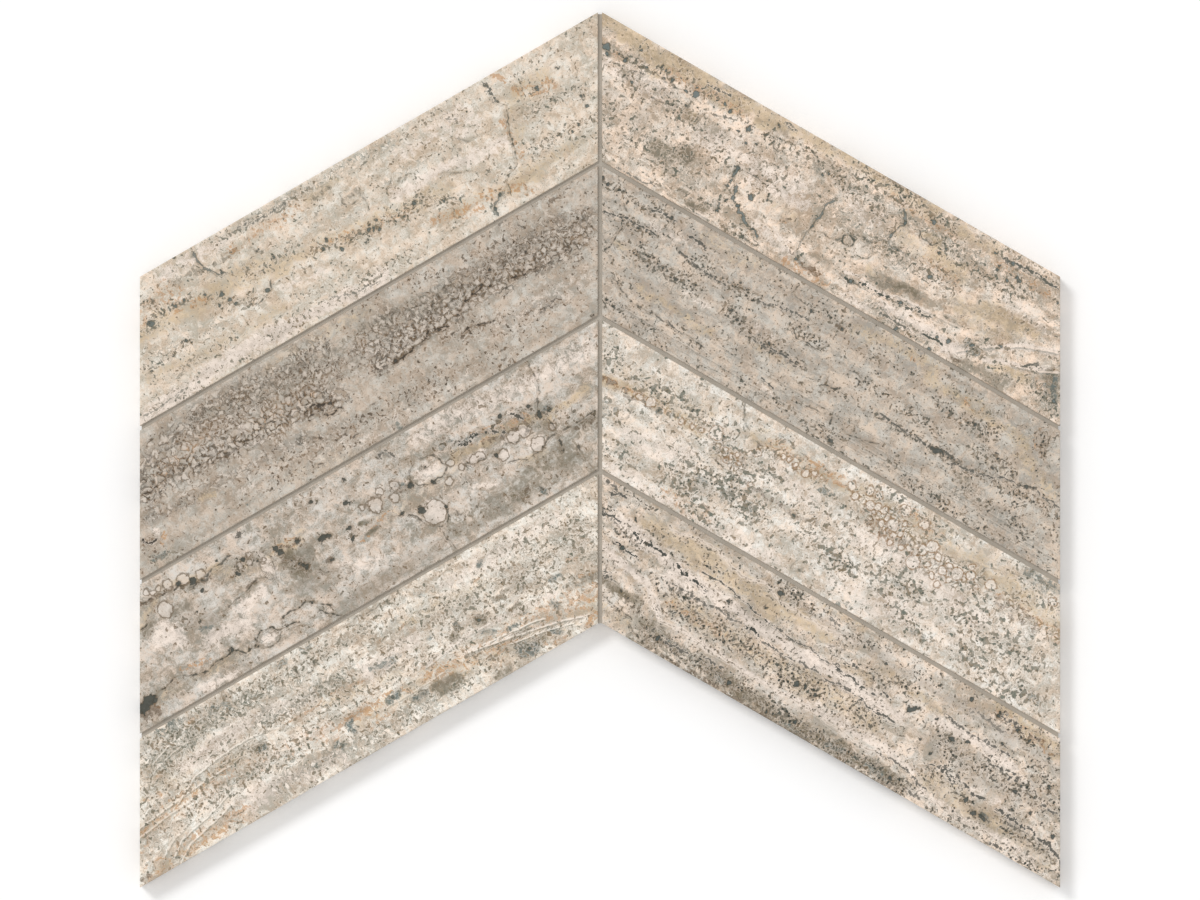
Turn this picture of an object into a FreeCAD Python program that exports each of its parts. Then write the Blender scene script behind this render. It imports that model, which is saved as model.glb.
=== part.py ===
import FreeCAD, Part
import math
import os

# Chevron wall tile: one mosaic sheet of travertine, four chevrons high.
#
# Each chevron is a left and a right tile, sawn from a strip of stone with a mitre at both
# ends, so a tile is a parallelogram with two upright ends. Grout fills the joints to a
# little below the face. A mesh glued to the backs holds the sheet together.
#
# The sheet lies face up. +Z points out of the face, +Y is where the chevrons point, and X
# runs across the sheet. The origin is on the underside of the mesh, below the middle of
# the box round the sheet.

# Stone, in millimetres, and the angle in degrees
STRIP_WIDTH = 44.0  # from one long edge of a tile to the other, square across
TILE_RUN = 156.0  # from one upright end of a tile to the other, along X
TILE_THICKNESS = 10.0
CHEVRON_ANGLE = 30.0  # slope of the long edges from X
ARRIS = 0.4  # bevel on the edges of each face
CHEVRONS = 4  # from the top of the sheet to the bottom

# Joints
JOINT_WIDTH = 1.4  # between two tiles, square across the joint
GROUT_RECESS = 1.0  # from the face down to the grout, where it meets a tile
GROUT_HOLLOW = 0.2  # how much deeper the tooled grout is along the middle of a joint
GROUT_SETBACK = 0.6  # from the outline of the tiles in to the open end of a joint

# Mesh
MESH_THICKNESS = 0.5
MESH_INSET = 3.0  # from the outline of the tiles in to the trimmed edge of the mesh

SLOPE = math.tan(math.radians(CHEVRON_ANGLE))
TILT = math.cos(math.radians(CHEVRON_ANGLE))
TILE_DROP = STRIP_WIDTH / TILT  # length of an upright end
JOINT_DROP = JOINT_WIDTH / TILT  # height of a sloping joint, measured upright
HALF_JOINT = JOINT_WIDTH / 2
HALF_WIDTH = HALF_JOINT + TILE_RUN
SHEET_DROP = CHEVRONS * TILE_DROP + (CHEVRONS - 1) * JOINT_DROP
TOP = (SHEET_DROP + TILE_RUN * SLOPE) / 2
BACK = MESH_THICKNESS
FACE = BACK + TILE_THICKNESS
GROUT_TOP = FACE - GROUT_RECESS
GROOVE_RADIUS = (HALF_JOINT**2 + GROUT_HOLLOW**2) / (2 * GROUT_HOLLOW)
SIDES = {"left": -1, "right": 1}


def chevron_y(x, drop):
    """Height on the sheet, at x, of the chevron that lies drop below the upper outline."""
    return TOP - (abs(x) - HALF_JOINT) * SLOPE - drop


def joint_start(number):
    """How far below the upper outline the numbered sloping joint starts."""
    return number * TILE_DROP + (number - 1) * JOINT_DROP


def slab(corners, low, high):
    """Upright prism over the corners, from z low to z high."""
    points = [FreeCAD.Vector(x, y, low) for x, y in corners]
    outline = Part.makePolygon(points + points[:1])
    return Part.Face(outline).extrude(FreeCAD.Vector(0, 0, high - low))


def leaning_slab(side, inner, outer, start, end, low, high):
    """Prism between two upright lines and two sloping lines, on one side of the middle."""
    corners = [
        (side * inner, chevron_y(inner, start)),
        (side * outer, chevron_y(outer, start)),
        (side * outer, chevron_y(outer, end)),
        (side * inner, chevron_y(inner, end)),
    ]
    return slab(corners, low, high)


def face_edges(solid):
    """The edges that lie in the face of the sheet."""
    return [edge for edge in solid.Edges if abs(edge.BoundBox.ZMin - FACE) < ARRIS / 2]


def tile(side, number):
    """One stone, with its face edges bevelled."""
    start = (number - 1) * (TILE_DROP + JOINT_DROP)
    stone = leaning_slab(side, HALF_JOINT, HALF_WIDTH, start, start + TILE_DROP, BACK, FACE)
    return stone.makeChamfer(ARRIS, face_edges(stone))


def grout_strips():
    """The flat filling of the middle joint and of each sloping joint."""
    foot = chevron_y(HALF_JOINT, SHEET_DROP)
    head = TOP - GROUT_SETBACK
    middle = [
        (-HALF_JOINT, foot),
        (HALF_JOINT, foot),
        (HALF_JOINT, head),
        (-HALF_JOINT, head),
    ]
    strips = [slab(middle, BACK, GROUT_TOP)]
    outer = HALF_WIDTH - GROUT_SETBACK
    for number in range(1, CHEVRONS):
        start = joint_start(number)
        for side in SIDES.values():
            end = start + JOINT_DROP
            strips.append(leaning_slab(side, 0, outer, start, end, BACK, GROUT_TOP))
    return strips


def groove(start, end):
    """The round bar that hollows a joint, laid from one (x, y) to another."""
    axis_z = GROUT_TOP + GROOVE_RADIUS - GROUT_HOLLOW
    base = FreeCAD.Vector(*start, axis_z)
    along = FreeCAD.Vector(*end, axis_z) - base
    return Part.makeCylinder(GROOVE_RADIUS, along.Length, base, along)


def grooves():
    """One bar for the middle joint and one for each sloping joint."""
    bars = [groove((0, chevron_y(0, SHEET_DROP) - JOINT_DROP), (0, TOP + JOINT_DROP))]
    for number in range(1, CHEVRONS):
        middle_drop = joint_start(number) + JOINT_DROP / 2
        hub = (0, chevron_y(0, middle_drop))
        for side in SIDES.values():
            bars.append(groove(hub, (side * HALF_WIDTH, chevron_y(HALF_WIDTH, middle_drop))))
    return bars


def joint_grout():
    """The filling of all the joints, which is one casting with a hollow, tooled top."""
    strips = grout_strips()
    casting = strips[0].fuse(strips[1:]).removeSplitter()
    return casting.cut(grooves())


def backing_mesh():
    """The glued mesh, as a sheet of its outline and thickness."""
    edge_x = HALF_WIDTH - MESH_INSET
    upper = MESH_INSET / TILT
    lower = SHEET_DROP - upper
    across = [-edge_x, 0, edge_x]
    corners = [(x, chevron_y(x, upper)) for x in across]
    corners += [(x, chevron_y(x, lower)) for x in reversed(across)]
    return slab(corners, 0, MESH_THICKNESS)


def sheet():
    """Every piece of the sheet, by name."""
    pieces = {"joint_grout": joint_grout(), "backing_mesh": backing_mesh()}
    for name, side in SIDES.items():
        for number in range(1, CHEVRONS + 1):
            pieces[f"{name}_tile_{number}"] = tile(side, number)
    return pieces


os.makedirs("parts", exist_ok=True)
for node, solid in sheet().items():
    solid.exportStep(f"parts/{node}.step")
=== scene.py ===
import math

import bpy
import numpy as np
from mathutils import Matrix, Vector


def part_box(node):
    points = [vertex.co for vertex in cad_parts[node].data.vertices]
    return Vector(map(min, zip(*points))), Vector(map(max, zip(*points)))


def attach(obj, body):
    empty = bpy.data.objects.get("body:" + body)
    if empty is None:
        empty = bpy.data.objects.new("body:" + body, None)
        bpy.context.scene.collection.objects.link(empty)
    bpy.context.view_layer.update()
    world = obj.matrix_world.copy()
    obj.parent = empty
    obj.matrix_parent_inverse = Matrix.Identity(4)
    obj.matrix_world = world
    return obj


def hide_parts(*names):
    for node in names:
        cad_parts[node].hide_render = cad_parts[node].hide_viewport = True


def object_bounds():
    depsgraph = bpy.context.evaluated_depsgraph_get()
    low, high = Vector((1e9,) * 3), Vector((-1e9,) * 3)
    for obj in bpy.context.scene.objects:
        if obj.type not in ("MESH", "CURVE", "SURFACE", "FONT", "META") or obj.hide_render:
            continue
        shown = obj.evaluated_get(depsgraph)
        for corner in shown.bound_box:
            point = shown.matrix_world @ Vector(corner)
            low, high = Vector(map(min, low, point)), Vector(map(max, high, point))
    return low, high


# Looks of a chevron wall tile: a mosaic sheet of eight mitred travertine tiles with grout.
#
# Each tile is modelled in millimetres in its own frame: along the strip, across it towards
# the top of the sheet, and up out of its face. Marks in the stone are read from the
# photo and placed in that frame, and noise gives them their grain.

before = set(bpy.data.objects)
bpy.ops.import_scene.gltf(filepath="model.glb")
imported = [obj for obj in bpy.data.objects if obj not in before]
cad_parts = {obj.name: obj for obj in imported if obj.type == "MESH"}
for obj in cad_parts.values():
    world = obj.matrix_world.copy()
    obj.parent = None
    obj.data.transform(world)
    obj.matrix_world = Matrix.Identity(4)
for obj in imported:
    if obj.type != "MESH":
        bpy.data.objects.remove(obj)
cad_low, cad_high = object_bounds()

MM = 0.001
CHEVRON_ANGLE = math.radians(30)
ARRIS = 0.4  # mm, worn edge round each face
SIDES = {"left": 1, "right": -1}  # which way each side's strips rise
SPOT_DEPTH = 0.22  # mm, pits under the spots
CRACK_DEPTH = 0.1  # mm, pits under cracks, rows and veins


def srgb(red, green, blue):
    """A colour given as it looks on a screen, from 0 to 255, as Blender's linear colour."""
    linear = []
    for level in (red, green, blue):
        part = level / 255
        linear.append(part / 12.92 if part <= 0.04045 else ((part + 0.055) / 1.055) ** 2.4)
    return (*linear, 1.0)


# One recipe for each stone. First its body: its dark and light colours and the colour of
# its specks, how strong its clouds and streaks are, how cool its tint is, how many specks,
# dots and chains of pores it has, and how grey the middles of its veins and spots are
# (slate). Beds are lines that its bedding follows. Sizes are in millimetres.
#
# The rest are marks. Each kind has strokes of (strength, half width, point, point, ...), in
# millimetres along and across the tile. One point alone makes a round blotch. Beads and
# spots are single discs of (along, across, radius).
STONES = {
    "left_tile_1": {
        "seed": 11,
        "body": ((193, 178, 159), (242, 228, 213)),
        "speck": (102, 108, 96),
        "clouds": 2.3,
        "cool_glow": 1.05,
        "streaks": 0.35,
        "specks": 0.35,
        "speck_size": 1.35,
        "slate": 0.55,
        "dots": 0.25,
        "chains": 0.7,
        "beds": [],
        "tan": [
            (0.65, 5, (-92, 4), (-60, 4), (-35, 1)),
            (0.6, 3.4, (-35, 1), (-10, -1), (12, -2), (28, -5)), (0.6, 5, (64, 10), (74, 11)),
            (0.5, 3, (-92, -9), (-70, -12), (-40, -11)), (0.5, 3, (25, -12), (75, -14)),
            (0.6, 2.4, (-14, 16), (-4, 16.6)), (0.5, 3, (48, -16), (56, -17)),
            (0.5, 2, (58, -2), (60, 2)),
        ],
        "pale": [
            (0.9, 3, (-104, -20), (-60, -17), (-30, -19), (-5, -20)),
            (0.6, 3, (-70, 18), (-45, 18)), (0.7, 3, (12, 3), (40, 1), (52, -1)),
            (0.5, 3, (40, 9), (50, 10)), (0.5, 4, (20, 14), (45, 14)),
            (0.5, 2.4, (-36, -6), (-22, -7)), (0.5, 2, (-46, -2.6)),
        ],
        "olive": [
            (0.6, 1.8, (-68, 14), (-58, 14)), (0.6, 1.6, (-52, 13), (-45, 13)),
            (0.5, 2, (-13, 16), (-7, 16)), (0.5, 1.6, (-3.4, 10), (2, 10)),
            (0.5, 1.2, (15, 6.5), (21, 6)), (0.4, 1.5, (32, 5), (38, 5)),
            (0.4, 2, (-85, -13), (-72, -12)), (0.4, 1.2, (-21, 10.4), (-15, 10)),
        ],
        "teal": [
            (0.7, 0.8, (38, -17), (38.5, -21)), (0.5, 0.8, (42, -15), (45, -15.6)),
            (0.4, 0.8, (-50, 8), (-44, 6)),
        ],
        "rust": [
            (1, 0.9, (61.4, 21.4), (62.4, 19.6), (63.4, 18)), (0.5, 2, (-20, 0), (14, -5)),
            (0.5, 2.5, (66, 13), (76, 8)), (0.5, 2, (46, -15), (52, -18)),
            (0.4, 1.2, (56, 6), (56, -8)), (0.4, 2, (-72, 6), (-60, 4)),
            (0.3, 4, (-90, 10), (-70, 12)), (0.3, 3, (-45, 15), (-20, 16)),
            (0.3, 3, (20, -12), (40, -14)),
        ],
        "pores": [
            (0.7, 2, (-84, 6), (-78, 7)), (0.7, 1.6, (-74, 7), (-66, 7.4)),
            (0.6, 2, (-80, 13), (-76, 9)), (0.5, 3, (-60, 1), (-50, -3)),
            (0.6, 3, (-44, 4), (-26, 4)), (0.7, 2.4, (-24, 0), (-8, -3)),
            (0.8, 3, (-6, -3), (14, -4), (30, -8)), (0.6, 1.6, (-96, -6), (-70, -6)),
            (0.5, 1.5, (-84, -12), (-60, -12)), (0.7, 1.4, (-50, 19), (-20, 18.5), (-10, 20)),
            (0.5, 1.4, (20, 18), (42, 20)), (0.6, 2.4, (60, -8), (85, -9)),
            (0.6, 3, (64, 3), (84, 4)), (0.4, 3, (-96, -19), (-75, -20)),
            (0.3, 5, (-60, -18), (-20, -15)), (0.5, 2.4, (-18, -18), (10, -18)),
            (0.5, 2, (68, 14), (78, 10)),
        ],
        "curds": [
            (0.5, 3, (-40, 19), (20, 19)), (0.4, 4, (64, 6), (86, 2)), (0.4, 3, (10, 8), (30, 8)),
            (0.3, 5, (-20, 6), (0, 4)), (0.4, 3, (-84, -4), (-60, -6)),
        ],
        "curd_size": 2.2,
        "crack": [
            (0.8, 0.3, (-50.7, -4.1), (-47.3, -6.3), (-42.9, -5.4), (-40, -4.1), (-39.4, -1.6)),
            (0.9, 0.3, (57.7, 13.7), (59.9, 9.8), (57.7, 5.9), (56, 2.6), (55.4, -3),
             (53.8, -6.9)), (0.8, 0.25, (53.8, -6.9), (51, -9.7), (47.1, -11.9), (46, -16.3)),
            (0.6, 0.3, (-5.1, 9.2), (-3.4, 7.6), (-0.7, 7), (2.1, 8.1), (2.7, 10.3)),
            (0.5, 0.25, (1.6, 7.6), (2.1, 5.3), (1, 2.6)),
            (0.6, 0.3, (-78, 14), (-77.4, 11), (-77.6, 8)),
            (0.6, 0.3, (27, -11), (26, -15), (26.8, -17)), (0.5, 0.3, (30, 1), (34, -2), (38, -3)),
            (0.5, 0.25, (9, 6), (12, 6.6), (15, 9.4)),
            (0.6, 0.3, (-39, 12), (-38.4, 9.6), (-36, 9)),
            (0.5, 0.25, (40, 9), (42, 6.6), (46, 6)),
        ],
        "row": [
            (0.9, 0.35, (57, 20.4), (57, 17), (57.7, 13.7)),
            (0.7, 0.3, (-40, 19.6), (-30, 18), (-22, 19)), (0.6, 0.3, (-100, -20), (-84, -19)),
            (0.6, 0.3, (-24, -17), (-16, -20), (-8, -20)), (0.6, 0.3, (40, 17), (43, 15)),
        ],
        "vein": [
            (0.9, 0.3, (-57.3, 20.3), (-57.3, 14.2), (-55, 11.4), (-53.4, 9.2), (-51.2, 8.7)),
            (0.8, 0.35, (38.8, -20.8), (39.3, -17.4), (42.7, -15.2)),
        ],
        "spots": [
            (-81.8, 6.4, 1.1), (-83.4, 6.8, 0.6), (-71.8, 7.6, 0.9), (-68.4, 7.3, 0.8),
            (-69.3, 15.3, 0.5), (-56.2, 2.6, 1), (-58.4, -0.2, 0.8), (-55, -0.2, 0.8),
            (-53.4, -2.4, 0.8), (-41.8, -3.6, 0.9), (-34.6, 4.8, 0.7), (-16.2, 0.9, 0.7),
            (-18.4, -0.8, 0.6), (-12.9, -4.1, 0.7), (-4.6, -6.3, 0.7), (-1.8, -3.6, 0.9),
            (-0.4, -3.8, 0.7), (2.1, -1.3, 0.7), (1.6, -4.9, 0.8), (16, -3, 0.9),
            (18.2, -1.3, 0.5), (25.4, -6.9, 0.7), (-38.4, 9.8, 0.7), (-74, -5, 0.7),
            (-80.7, -6.9, 0.5), (-76, -4.6, 0.5), (71.6, 9.8, 0.8), (81.6, 12.6, 0.7),
            (70.4, -7.4, 0.7), (74.9, -8.6, 0.6), (78.2, -8, 0.6), (83.8, -3.6, 0.8),
            (83.8, -0.2, 0.8), (42.7, -15.2, 0.7), (39, -18.4, 0.6), (57, 19.4, 0.6),
            (62, -5, 0.5), (60.6, -10, 0.5), (65.6, -6.4, 0.5), (36.4, -6.4, 0.5), (43.6, -6, 0.5),
            (50.6, -8.8, 0.5), (-52.6, 9.4, 0.7), (-61, 5.6, 0.5), (-25, -4.6, 0.5), (7, 0.6, 0.5),
            (10.6, -5.2, 0.6), (-90, -8, 0.4),
        ],
    },
    "left_tile_2": {
        "seed": 23,
        "body": ((168, 155, 140), (211, 199, 186)),
        "speck": (72, 62, 48),
        "clouds": 2.2,
        "grain_lines": 0.7,
        "cool_glow": 1.06,
        "streaks": 0.3,
        "specks": 0.3,
        "speck_size": 1.35,
        "slate": 0.2,
        "dots": 0.1,
        "chains": 0.6,
        "curd_size": 2.4,
        "beds": [],
        "tan": [
            (0.8, 1.8, (-70, -8), (-67, -8.5)), (0.3, 5, (-50, 3), (-20, 3)),
            (0.4, 3, (-30, 18), (10, 19)), (0.3, 4, (-40, -19), (-20, -20)),
        ],
        "pale": [
            (0.9, 0.5, (-55, 0.2), (-50, -0.5), (-43.5, -1.7)),
            (0.9, 1.8, (-46.3, 5.4), (-45.8, 5)), (0.7, 1.2, (-79.2, 11.7)),
            (0.7, 1.1, (-65.8, 4.4)), (0.6, 0.5, (-82, 2), (-79, 2)), (0.8, 1.4, (-89.5, -10.4)),
            (0.5, 2, (-30, 1.8), (-28, 1.2)), (0.3, 6, (45, -7), (80, -9)),
            (0.3, 5, (-30, -16), (30, -18)), (0.3, 3, (-60, -12), (-40, -13)),
        ],
        "olive": [
            (0.5, 3.5, (-50, 15), (-36, 15)), (0.6, 4, (-36, 9), (-20, 8)),
            (0.5, 3, (-22, 14), (4, 12)), (0.5, 4, (8, 13), (26, 12)), (0.5, 4, (30, 9), (52, 8)),
            (0.4, 4, (56, 7), (88, 7)), (0.7, 1, (-75, 17), (-71, 16.4)),
            (0.5, 2.5, (-96, -19), (-86, -21)), (0.4, 3, (-72, 5), (-58, 8)),
        ],
        "brown": [
            (0.5, 0.9, (-76, 4), (-70, 4.5)), (0.5, 1.2, (-30, 7), (-24, 5)),
            (0.6, 1, (-26, -1.5), (-15, -2)), (0.6, 0.8, (9, -1.2), (17, -0.4)),
            (0.6, 1, (27, 1.5), (31, 0.5)), (0.6, 1.1, (36, 2.6), (40, 4), (46, 5.6)),
            (0.6, 1, (57, 4), (63, 2.8)), (0.5, 0.8, (75, 3), (79, 2.6)),
            (0.7, 0.9, (82.5, 19.7), (88.5, 19.5)),
        ],
        "teal": [
            (0.8, 0.8, (-57.9, -17.7)), (0.5, 0.5, (4, -16.8), (9, -16.6)),
            (0.5, 1.2, (-0.5, -19), (0, -21)), (0.5, 0.9, (-70, 5.4)), (0.6, 0.8, (-62, 9.3)),
            (0.7, 0.5, (-25, 4.8), (-22, 4)), (0.6, 0.5, (-12, 7.3), (-9, 7.3)),
            (0.6, 0.6, (-4, 8), (-1, 8.4)), (0.6, 0.5, (18, 13.3), (21, 13.2)),
            (0.6, 0.9, (16.3, 7.8)), (0.6, 0.8, (24, 6.7)), (0.7, 1, (44, 7.2), (45.5, 6.8)),
            (0.6, 0.7, (39, 6)), (0.5, 0.7, (34.7, 7.5)), (0.5, 0.7, (41, 16.5)),
        ],
        "smudge": [
            (0.4, 4, (-96, -19), (-88, -18)), (0.4, 3, (-30, 10), (0, 7)),
            (0.35, 3, (10, 12), (40, 12)), (0.5, 1.5, (10, -1), (24, 1.4)),
            (0.5, 1.8, (44, 5.4), (62, 4)), (0.4, 2, (-60, 16), (-44, 14)),
        ],
        "blot": [
            (0.5, 1.6, (-95, -18.6), (-90, -18.6)), (0.4, 1.4, (-58, -17.4)),
            (0.5, 1, (76.6, -20)), (0.4, 1.4, (36, 6), (42, 5.4)), (0.4, 1.2, (28, 14), (36, 13)),
        ],
        "rust": [
            (0.4, 0.9, (-90, -14.6), (-87, -12)), (0.3, 3, (-80, 6), (-55, 9)),
            (0.3, 3, (-40, 5), (-20, 4)),
        ],
        "pores": [
            (0.4, 7, (-60, 10), (20, 8)), (0.5, 3, (55, -10), (69, -11)),
            (0.6, 2, (28, 20), (38, 18)), (0.4, 5, (-50, -15), (50, -16)),
            (0.5, 6, (50, 12), (88, 9)), (0.5, 3, (30, -4), (50, -6)),
            (0.4, 3, (78, -1), (88, -3)), (0.4, 2, (8, -13), (14, -13)),
            (0.5, 2, (56, 20), (70, 19)),
        ],
        "curds": [
            (0.8, 5, (-88, 3), (-60, 2), (-35, 2), (-12, -1)),
            (0.8, 4, (4, 2), (20, 3), (35, 4), (60, 5), (88, 4)), (0.6, 7, (-80, 12), (-10, 13)),
            (0.6, 6, (0, 10), (88, 10)), (0.5, 3, (-90, -6), (-60, -7), (-30, -8)),
            (0.4, 3, (-30, -10), (-12, -12)), (0.4, 3, (50, -9), (70, -10)),
        ],
        "grains": [
            (0.7, 4, (-88, 2), (-60, 1), (-35, 1), (-12, -2)),
            (0.6, 4, (-76, 7), (-50, 7), (-22, 6)), (0.4, 4, (-92, -4), (-60, -6), (-35, -6)),
            (0.4, 6, (-78, 13), (-40, 14), (-15, 12)),
            (0.8, 2.6, (8, 1), (20, 2), (32, 2), (48, 4)),
            (0.7, 3, (16, 4), (30, 5), (56, 5), (90, 4)),
            (0.4, 5, (2, 10), (30, 10), (60, 11), (88, 9)), (0.6, 2, (28, -2), (40, -4), (48, -5)),
            (0.3, 3, (-28, -10), (-14, -13)), (0.6, 1.6, (-96, -12), (-90, -12)),
            (0.45, 5, (-18, 6), (6, 5)),
        ],
        "grain_size": 2.4,
        "grain_gaps": 0.35,
        "crack": [
            (0.9, 0.3, (-88.4, 2.3), (-84, 2.5), (-82.6, 3), (-78, 3), (-75.8, 3.3)),
            (0.8, 0.3, (-67.4, 2), (-63.2, 0.7), (-60, 0.2), (-56.3, -0.4)),
            (0.9, 0.35, (-49, 1.7), (-46.3, 0.4), (-43.7, 0.2)),
            (1, 0.45, (-26.3, -0.9), (-22, -0.4), (-19.5, -1.4), (-15.8, -2)),
            (0.9, 0.4, (-24.7, -3), (-20.5, -3)),
            (1, 0.4, (-20, -4.6), (-17.4, -5.9), (-14.7, -4.6), (-13.7, -5.6)),
            (0.7, 0.3, (-28, -9.3), (-22.6, -12.5), (-21, -14), (-18, -14), (-14.7, -12)),
            (0.7, 0.3, (-15.8, -17), (-13.7, -16.2)), (0.6, 0.3, (-5.8, -9.5), (-2.6, -9.6)),
            (1, 0.35, (8.9, -1.4), (17.4, -0.4), (17.9, 0.4), (23.2, 0.9), (24.7, 2.3)),
            (1, 0.4, (27.4, 1.7), (30.5, 0.2)),
            (1, 0.45, (36.3, 2.3), (39, 3.9), (43.7, 4.9), (45.8, 5.7), (48.4, 6.5)),
            (1, 0.4, (57.9, 3.9), (62.6, 2.5), (65.3, 3), (67.4, 2.8)),
            (0.9, 0.35, (75.3, 2.5), (79, 2.5)),
            (0.9, 0.3, (33, -4), (37, -4), (41.6, -4.6), (45.8, -6)),
            (0.7, 0.3, (68.4, 18.5), (70.5, 17)), (0.7, 0.3, (-32, -18), (-29, -19.3)),
        ],
        "row": [
            (1, 0.4, (-94.7, -10.9), (-93.6, -12.6), (-91.8, -13.3), (-90.5, -12.9)),
            (0.6, 0.3, (60, -11.6), (65, -10.8), (68.5, -10)),
            (0.6, 0.3, (63.5, 21.4), (66.5, 20.8)),
        ],
        "spots": [
            (10, -1.2, 0.7), (47.8, 6.8, 0.6), (51, 5, 0.7), (60.5, 3.4, 0.5), (-16.5, -2.4, 0.5),
            (53.2, 10, 0.6), (66.8, 8.6, 0.5), (28, 1, 0.6), (-92.5, -12.6, 0.5), (94.7, 16, 0.5),
            (75.8, -21, 0.6),
        ],
    },
    "left_tile_3": {
        "seed": 37,
        "body": ((157, 146, 131), (225, 212, 200)),
        "speck": (70, 72, 60),
        "clouds": 2.6,
        "cool_glow": 1.04,
        "streaks": 0.25,
        "specks": 0.2,
        "speck_size": 1.5,
        "slate": 0.15,
        "bead_edge": (112, 94, 73),
        "dots": 0.1,
        "chains": 0.5,
        "curd_size": 2.2,
        "beds": [],
        "tan": [
            (0.5, 2.5, (-84, 9), (-72, 17), (-52, 14)), (0.4, 4, (-50, 10), (-28, 8)),
            (0.5, 3, (-28, 9), (-22, 9)), (0.7, 2.6, (38, 6), (60, 5), (68, 4)),
            (0.6, 2.2, (70, 2.5), (88, 3.5)), (0.4, 2, (-94, -14.5), (-75, -16), (-58, -15)),
            (0.3, 5, (5, 0), (35, 3)), (0.5, 2, (55, -7), (65, -8)),
        ],
        "pale": [
            (0.8, 4, (-80, 4), (-74, 1)), (0.8, 3.5, (-66, -6), (-53, -9)),
            (0.7, 2.5, (-52, -2), (-42, -1)), (0.8, 2, (-36.5, 10), (-36.5, 4)),
            (0.6, 3.5, (30, 18), (60, 16), (95, 16)), (0.9, 1.5, (41.5, 2.5), (46, 2.5)),
            (0.8, 2, (56.5, 2.2), (62.5, 1.8)), (0.8, 2.2, (63, -3.6), (66, -4)),
            (0.7, 1.6, (51.5, -1.4), (52.5, -1.4)), (0.7, 3, (24, 7), (29, 6.5)),
            (0.7, 2.4, (22, -4.5), (23, -9)), (0.7, 1.6, (-49.5, -15.5), (-46, -16)),
            (0.5, 2, (36, -6), (44, -8)), (0.6, 2, (-76, -19.5), (-64, -20)),
            (0.5, 1.5, (72.5, -2), (74, -3)), (0.5, 3, (-15, -8), (0, -12)),
        ],
        "grey": [
            (0.6, 4, (-70, 3), (-62, -1)), (0.5, 4, (-30, -6), (-15, -8)),
            (0.5, 5, (-20, -18), (15, -19)),
        ],
        "olive": [
            (0.9, 3.4, (-29.5, 3), (-25, 0)), (0.9, 3.2, (-23, 4), (-28, -2)),
            (0.7, 5, (45, -15), (72, -14)), (0.6, 2.2, (22.5, -15.5), (27, -17)),
            (0.5, 4, (28, -13), (42, -15)), (0.5, 4, (78, -7), (86, -9)),
            (0.5, 2.2, (-84, -16), (-78, -15.5)), (0.6, 2, (-84, 7), (-80, 9.5)),
            (0.5, 2.5, (-72, 8), (-66, 8)), (0.6, 2, (49, -16), (52, -17)),
            (0.5, 1.4, (22, 5), (20, 8)), (0.5, 2, (40, 9), (50, 9)), (0.4, 2, (56, 9), (66, 8)),
        ],
        "brown": [
            (1, 2.2, (-98, -17), (-94, -18)), (0.8, 1.4, (-97, -14.5), (-92, -14.5)),
            (0.6, 1, (-80, 16), (-66, 15), (-60, 12.8), (-56, 12)),
            (0.6, 1.3, (-31, 9), (-23, 8.5)), (0.8, 1.2, (-26.5, 2), (-24.5, -1)),
            (0.8, 1, (-31, 5), (-29, 5.5)), (0.7, 1.1, (-18, -3), (-16.4, -3)),
            (0.6, 1.6, (79, -6), (84, -6)), (0.5, 0.9, (-46, 3), (-43, 3)),
            (0.5, 1.4, (48, 5), (66, 3)), (0.6, 1, (14.5, 6), (18, 5.4)),
            (0.6, 1, (-8, 3), (-4, 2.4)), (0.6, 0.8, (52, -17), (54, -15.4)),
        ],
        "teal": [
            (0.9, 0.8, (57.5, -18.5), (58, -20)), (0.8, 0.9, (69, 4.5)), (0.7, 0.8, (73.4, 4.9)),
            (0.8, 1, (19.6, 5.8)), (0.6, 0.7, (26.6, 2.8)), (0.6, 0.8, (-2, 2.3), (0.5, 1.5)),
            (0.6, 1.2, (35, 11.5), (38, 11.5)), (0.7, 0.6, (-1.5, -1.7), (2.5, -1.7)),
            (0.4, 2, (-66, -2), (-64, -3)),
        ],
        "smudge": [
            (0.7, 3.3, (-29, 4), (-26, -1.6)), (0.6, 1.2, (-2, 2.5), (1, 1.2)),
            (0.8, 0.9, (-2.4, -1.7), (2.6, -1.8)), (0.5, 2.4, (48, -15), (52, -17)),
            (0.5, 2.1, (22.4, -16), (26.6, -17.4)), (0.5, 1.5, (66, 1.4), (70, 0)),
            (0.5, 1.2, (-47, 1.6), (-42, 2.4)), (0.5, 1.5, (80, -6), (85, -5)),
            (0.5, 1.5, (17, -4.6), (18.6, -6)), (0.4, 3.9, (60, -13), (70, -14)),
            (0.5, 1.8, (-83, 7.4), (-80, 9.2)), (0.5, 1.5, (-41, 8), (-37, 9)),
        ],
        "blot": [
            (0.7, 1.4, (15, 7.6), (17.6, 6.4)), (0.7, 1, (41, 8.9), (47, 8.7)),
            (0.6, 1.4, (71.4, 4.5), (73.4, 5)), (0.6, 1.2, (57.6, -18.4), (58.2, -20)),
            (0.5, 1.4, (34, 5.4), (36, 6)), (0.5, 1, (16, 19.6), (18.4, 17.4)),
            (0.5, 1, (36, 11.4), (39, 11.2)), (0.5, 0.9, (54, 6.6), (57, 4.6)),
            (0.5, 1, (26.8, 2.6)), (0.4, 1.2, (-65, -2.6)),
        ],
        "rust": [
            (0.5, 1, (-80, -10), (-70, -12)), (0.5, 1.5, (-31, 9.5), (-24, 9)),
            (0.4, 2, (45, 8), (65, 6)), (0.5, 1, (-4, -3), (8, 1)),
            (0.4, 1.5, (-94, -15), (-92, -17)),
        ],
        "pores": [
            (0.7, 2, (-46, 11), (-38, 10)), (0.6, 2.5, (-32, 9), (-22, 8)),
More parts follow.
